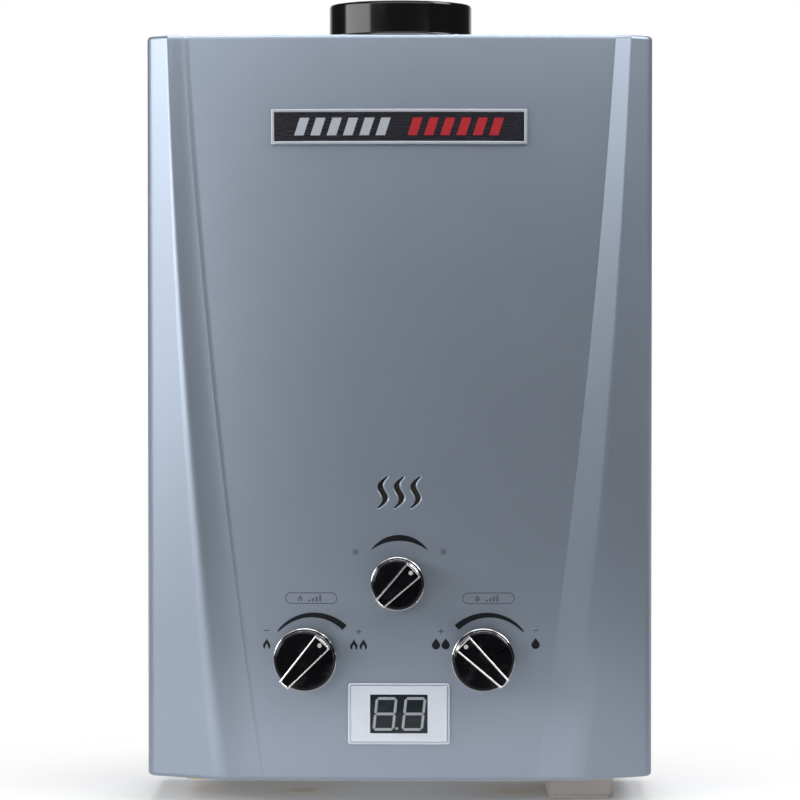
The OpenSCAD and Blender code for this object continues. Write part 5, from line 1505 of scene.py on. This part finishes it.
class HEATER_OT_fasteners(bpy.types.Operator):
    """Build the four cover screws, with a cross cut into each head"""
    bl_idname = "heater.fasteners"
    bl_label = "Fasteners"

    HEAD = 3.5
    RISE = 1.8
    SHANK = 9
    SHANK_RADIUS = 1.9
    # Length and width of a cross's arms, and how deep the cross goes
    CROSS = (4, 0.8)
    CROSS_DEPTH = 1.1

    def execute(self, context):
        screws, crosses = Form(), Form()
        length, width = self.CROSS
        for spot, way in screw_spots(casing_form()):
            stand = Matrix.Translation(spot)
            if way < 0:
                stand = stand @ Matrix.Rotation(math.pi, 4, "X")
            screw = screw_form(self.HEAD, self.RISE, self.SHANK, self.SHANK_RADIUS)
            screws.join(screw.moved(stand))
            crown = Matrix.Translation(spot + Vector((0, 0, way * self.RISE)))
            for w, d in ((length, width), (width, length)):
                arm = [Vector((x * w / 2, y * d / 2)) for x, y in ((-1, -1), (1, -1), (1, 1), (-1, 1))]
                crosses.join(prism(arm, -self.CROSS_DEPTH, self.CROSS_DEPTH).moved(crown))
        item = screws.piece("casing_screws", "chassis", "zinc", "zinc", sharp=30,
                            replaces=["cover_screws"])
        subtract(item, crosses.piece("cutters", None, "zinc", None), crossing=True)
        return {"FINISHED"}


def thread_form(radius, low, high, pitch, depth, sides=48):
    """The ridge of an outside thread, from low to high and run out at both ends."""
    steps = int((high - low) / pitch * sides)
    root, crest = depth + 0.4, 0.02
    rows = []
    for i in range(steps + 1):
        a = 2 * math.pi * i / sides
        z = low + (high - low) * i / steps
        foot = depth * min(1, i / sides, (steps - i) / sides)
        rows.append([Vector(((radius - cut) * math.cos(a), (radius - cut) * math.sin(a), z + up * pitch))
                     for cut, up in ((crest, -0.06), (crest, 0.06), (foot, 0.44), (root, 0.44),
                                     (root, -0.5), (foot, -0.5))])
    return Form().loft(rows)


class HEATER_OT_fittings(bpy.types.Operator):
    """Turn the three threaded pipe fittings"""
    bl_idname = "heater.fittings"
    bl_label = "Fittings"

    # Half-inch pipe thread
    RADIUS = 10.48
    PITCH = 1.814
    DEPTH = 1.16
    BORE = 7
    # From the fitting's end to its flange, the flange's radius and thickness, and the neck
    REACH = 21
    FLANGE = 15
    FLANGE_HEIGHT = 3
    NECK = 10

    def execute(self, context):
        for node in ("gas_inlet", "cold_inlet", "hot_outlet"):
            low, high = (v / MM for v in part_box(node))
            seat = low.z + self.REACH
            back = seat + self.FLANGE_HEIGHT
            core = self.RADIUS - self.DEPTH + 0.05
            collar = self.RADIUS - 0.62
            tube = Form().lathe([
                (self.BORE, low.z), (core - 0.5, low.z), (core, low.z + 0.5), (core, seat - 1.9),
                (collar, seat - 1.7), (collar, seat), (self.FLANGE - 0.4, seat),
                (self.FLANGE, seat + 0.4), (self.FLANGE, back - 0.4), (self.FLANGE - 0.4, back),
                (self.NECK, back), (self.NECK, high.z), (self.BORE, high.z)], 72, ring=True)
            tube.join(thread_form(self.RADIUS, low.z + 0.9, seat - 2.2, self.PITCH, self.DEPTH))
            tube.moved(Matrix.Translation(((low.x + high.x) / 2, (low.y + high.y) / 2, 0)))
            tube.piece(f"{node}_turned", "chassis", "brass", "brass", sharp=40, replaces=[node])
        return {"FINISHED"}


# CAD nodes that keep their mesh: finish of each
KEPT = {
    "flame_window": "mica", "display_module": "dark", "display_board": "board",
    "flame_spindle": "brass", "water_spindle": "brass", "season_spindle": "brass",
    "back_plate": "zinc", "bottom_plate": "zinc", "core_brackets": "zinc",
    "exhaust_hood": "zinc", "exchanger_shell": "copper", "exchanger_fins": "copper",
    "exchanger_tubes": "copper", "combustion_chamber": "copper", "chamber_coil": "copper",
    "burner_bars": "stainless", "burner_frame": "stainless", "gas_manifold": "cast",
    "season_valve": "cast", "gas_feed_pipe": "cast", "gas_valve_body": "cast",
    "gas_solenoid": "dark", "water_valve_body": "brass", "diaphragm_cover": "brass",
    "diaphragm": "rubber", "push_rod": "stainless", "return_spring": "stainless",
    "inlet_filter": "stainless", "cold_pipe": "copper", "hot_pipe": "copper",
    "union_nuts": "brass", "drain_plug": "dark", "switch_bracket": "zinc",
    "microswitch": "dark", "switch_lever": "stainless", "ignition_controller": "pale",
    "ignition_electrode": "ceramic", "flame_sensor": "ceramic", "overheat_switch": "stainless",
    "battery_box": "taupe", "battery_door": "taupe", "batteries": "cells",
    "battery_contacts": "stainless", "wiring_harness": "lead",
}


def facet_smoothing():
    """Geometry nodes that shade a CAD mesh smooth over its facets and sharp at its edges."""
    group = bpy.data.node_groups.new("smooth_facets", "GeometryNodeTree")
    group.interface.new_socket("Geometry", in_out="INPUT", socket_type="NodeSocketGeometry")
    group.interface.new_socket("Geometry", in_out="OUTPUT", socket_type="NodeSocketGeometry")
    new, link = group.nodes.new, group.links.new
    start, end = new("NodeGroupInput"), new("NodeGroupOutput")
    weld = new("GeometryNodeMergeByDistance")
    weld.inputs["Distance"].default_value = 2e-6
    faces, edges = new("GeometryNodeSetShadeSmooth"), new("GeometryNodeSetShadeSmooth")
    faces.domain, edges.domain = "FACE", "EDGE"
    turn, low = new("GeometryNodeInputMeshEdgeAngle"), new("FunctionNodeCompare")
    low.data_type, low.operation = "FLOAT", "LESS_THAN"
    low.inputs[1].default_value = math.radians(32)
    link(turn.outputs[0], low.inputs[0])
    link(low.outputs[0], edges.inputs["Shade Smooth"])
    link(start.outputs[0], weld.inputs["Geometry"])
    link(weld.outputs[0], faces.inputs["Geometry"])
    link(faces.outputs[0], edges.inputs["Geometry"])
    link(edges.outputs[0], end.inputs[0])
    return group


class HEATER_OT_kept_nodes(bpy.types.Operator):
    """Give every CAD node that stays in view its finish and smooth shading"""
    bl_idname = "heater.kept_nodes"
    bl_label = "Kept CAD nodes"

    def execute(self, context):
        group = facet_smoothing()
        for name, surface in KEPT.items():
            item = frame["nodes"][name]
            for slot in item.material_slots:
                slot.material = finish(surface)
            item.modifiers.new("smooth_facets", "NODES").node_group = group
        return {"FINISHED"}


# Stage

def area_lamp(name, watts, size, at, look_at):
    data = bpy.data.lights.new(name, "AREA")
    data.shape, data.size, data.size_y = "RECTANGLE", *size
    data.energy = watts
    lamp = bpy.data.objects.new(name, data)
    bpy.context.scene.collection.objects.link(lamp)
    lamp.location = at
    lamp.rotation_euler = (Vector(look_at) - Vector(at)).to_track_quat("-Z", "Y").to_euler()
    lamp.visible_camera = False


class HEATER_OT_stage(bpy.types.Operator):
    """Set up the pale floor, the white surroundings, the studio lights and the camera"""
    bl_idname = "heater.stage"
    bl_label = "Stage"

    # Setting that holds the watts, size, place and aim of each area light, in metres
    LIGHTS = (
        ("key_box", (1.2, 0.36), (-1.0, -0.94, 0.12), (0, -0.1, 0.1)),
        ("left_box", (1.2, 0.4), (-1.26, -0.44, 0.42), (0, -0.1, 0.1)),
        ("right_box", (0.8, 0.8), (1.2, -0.4, 1.0), (0, -0.1, 0.1)),
        ("overhead", (1.0, 0.5), (0, -0.2, 1.2), (0, -0.1, 0.2)),
        ("top_strip", (1.0, 0.2), (0, -0.5, 0.42), (0, -0.1, 0.1)),
        ("low_strip", (1.0, 0.06), (0, -0.3, -0.22), (0, -0.1, -0.2)),
        ("rear_box", (1.2, 0.8), (0, 1.1, 1.3), (0, 0, 0)),
    )

    FLOOR_RADIUS = 3.2
    FLOOR_GAP = 0.0005
    # Distances from the heater's middle, in millimetres: where the floor turns white to the
    # eye, and where metal stops seeing it as pale
    WHITE_FROM = (100, 340)
    PALE_TO = (300, 700)
    # Depths between which the floor behind the wall turns white in metal
    BEHIND = (-100, 300)
    # Brightness of the floor near the heater and of the ceiling, as metal mirrors them
    NEAR_FLOOR = 0.7
    CEILING = 0.6

    def execute(self, context):
        s = context.scene.heater_stage
        context.scene.view_settings.view_transform = "Standard"
        self.floor(s.front_grey)
        self.surroundings(s.front_grey, s.ambient)
        for name, size, at, look_at in self.LIGHTS:
            area_lamp(name, getattr(s, name), size, at, look_at)
        data = bpy.data.cameras.new("photo_view")
        data.lens = data.sensor_width / 2 / math.tan(s.view / 2)
        data.clip_start, data.clip_end = 0.1, 60.0
        camera = bpy.data.objects.new("photo_view", data)
        context.scene.collection.objects.link(camera)
        camera.location = (s.camera_x, s.camera_y, s.camera_z)
        front = -context.scene.heater_casing.side_depth
        aim = Vector((s.aim_x, front, s.aim_z)) - camera.location
        camera.rotation_euler = aim.to_track_quat("-Z", "Y").to_euler()
        context.scene.camera = camera
        return {"FINISHED"}

    def floor(self, front_grey):
        """A round pale floor under the heater, clear from below. It keeps the heater's shadow
        and turns white to the eye further out, and metal mirrors it dimmer towards the front."""
        made = bmesh.new()
        bmesh.ops.create_circle(made, cap_ends=True, segments=96, radius=self.FLOOR_RADIUS)
        mesh = bpy.data.meshes.new("floor")
        made.to_mesh(mesh)
        made.free()
        item = bpy.data.objects.new("floor", mesh)
        bpy.context.scene.collection.objects.link(item)
        item.location.z = CAD_BOX[0].z - self.FLOOR_GAP
        paper = Finish("floor_paper", (0.86, 0.86, 0.865), 0, 0.7)
        grain = paper.noise(3, 3)
        paper.tint((0.85, 0.85, 0.855), (0.87, 0.87, 0.875), grain)
        seen = paper.ray("Is Camera Ray").max(paper.ray("Is Transmission Ray"))
        mirrored = paper.ray("Is Glossy Ray")
        away = paper.node("ShaderNodeVectorMath", {"operation": "LENGTH"}, {0: paper.place()},
                          out="Value")
        near = self.NEAR_FLOOR - away.ramp(*self.PALE_TO)
        white = seen.max(near).max(paper.along("Y").ramp(*self.BEHIND))
        plain = self.blank(paper, front_grey, white)
        lit = paper.shaders(paper.shader, plain, mirrored.max(seen * away.ramp(*self.WHITE_FROM)))
        clear = paper.node("ShaderNodeBsdfTransparent")
        under = paper.node("ShaderNodeNewGeometry", out="Backfacing")
        paper.surface(paper.shaders(lit, clear, under))
        mesh.materials.append(paper.material)

    def blank(self, tree, grey, white, kind="ShaderNodeEmission"):
        """Plain light of that grey level, and white where the factor is 1."""
        low, high = (tree.node(kind, {}, {"Color": (1.0, 1.0, 1.0), "Strength": level})
                     for level in (grey, 1.0))
        return tree.shaders(low, high, white)

    def surroundings(self, front_grey, ambient):
        """White to the eye. Metal mirrors white from straight behind, a pale ceiling and a dim
        studio elsewhere, and everything else gets the plain all-round light."""
        world = bpy.data.worlds.new("studio")
        bpy.context.scene.world = world
        tree = Tree(world)
        way = tree.node("ShaderNodeTexCoord", out="Generated")
        back, up = (tree.node("ShaderNodeSeparateXYZ", {}, {0: way}, out=axis) for axis in (1, 2))
        behind = back.ramp(0.8, 0.98).max(up.ramp(0.5, 0.95) * self.CEILING)
        seen = tree.ray("Is Camera Ray").max(tree.ray("Is Transmission Ray"))
        mirrored = self.blank(tree, front_grey, seen.max(behind), "ShaderNodeBackground")
        spread = tree.node("ShaderNodeBackground", {},
                           {"Color": (1.0, 1.0, 1.0), "Strength": ambient})
        direct = seen.max(tree.ray("Is Glossy Ray"))
        tree.node("ShaderNodeOutputWorld", {}, {0: tree.shaders(spread, mirrored, direct)})


class HEATER_PT_sidebar(bpy.types.Panel):
    bl_label = "Water Heater"
    bl_idname = "HEATER_PT_sidebar"
    bl_space_type = "VIEW_3D"
    bl_region_type = "UI"
    bl_category = "Heater"

    def draw(self, context):
        for operator in OPERATORS:
            self.layout.operator(operator.bl_idname)
        for name in GROUPS:
            box = self.layout.box()
            group = getattr(context.scene, name)
            for key, prop in group.bl_rna.properties.items():
                if prop.type == "FLOAT":
                    box.prop(group, key)


GROUPS = {
    "heater_casing": HEATER_PG_casing, "heater_controls": HEATER_PG_controls,
    "heater_colours": HEATER_PG_colours, "heater_stage": HEATER_PG_stage,
}
OPERATORS = (
    HEATER_OT_stage, HEATER_OT_casing, HEATER_OT_slot_rims, HEATER_OT_flue_collar,
    HEATER_OT_badge, HEATER_OT_display, HEATER_OT_knobs, HEATER_OT_printing,
    HEATER_OT_fasteners, HEATER_OT_fittings, HEATER_OT_kept_nodes,
)


def register():
    for cls in (*GROUPS.values(), *OPERATORS, HEATER_PT_sidebar):
        bpy.utils.register_class(cls)
    for name, group in GROUPS.items():
        setattr(bpy.types.Scene, name, PointerProperty(type=group))


def unregister():
    for name in GROUPS:
        delattr(bpy.types.Scene, name)
    for cls in (HEATER_PT_sidebar, *reversed(OPERATORS), *GROUPS.values()):
        bpy.utils.unregister_class(cls)


def main():
    register()
    for operator in OPERATORS:
        getattr(bpy.ops.heater, operator.bl_idname.split(".")[1])()


if __name__ == "__main__":
    main()
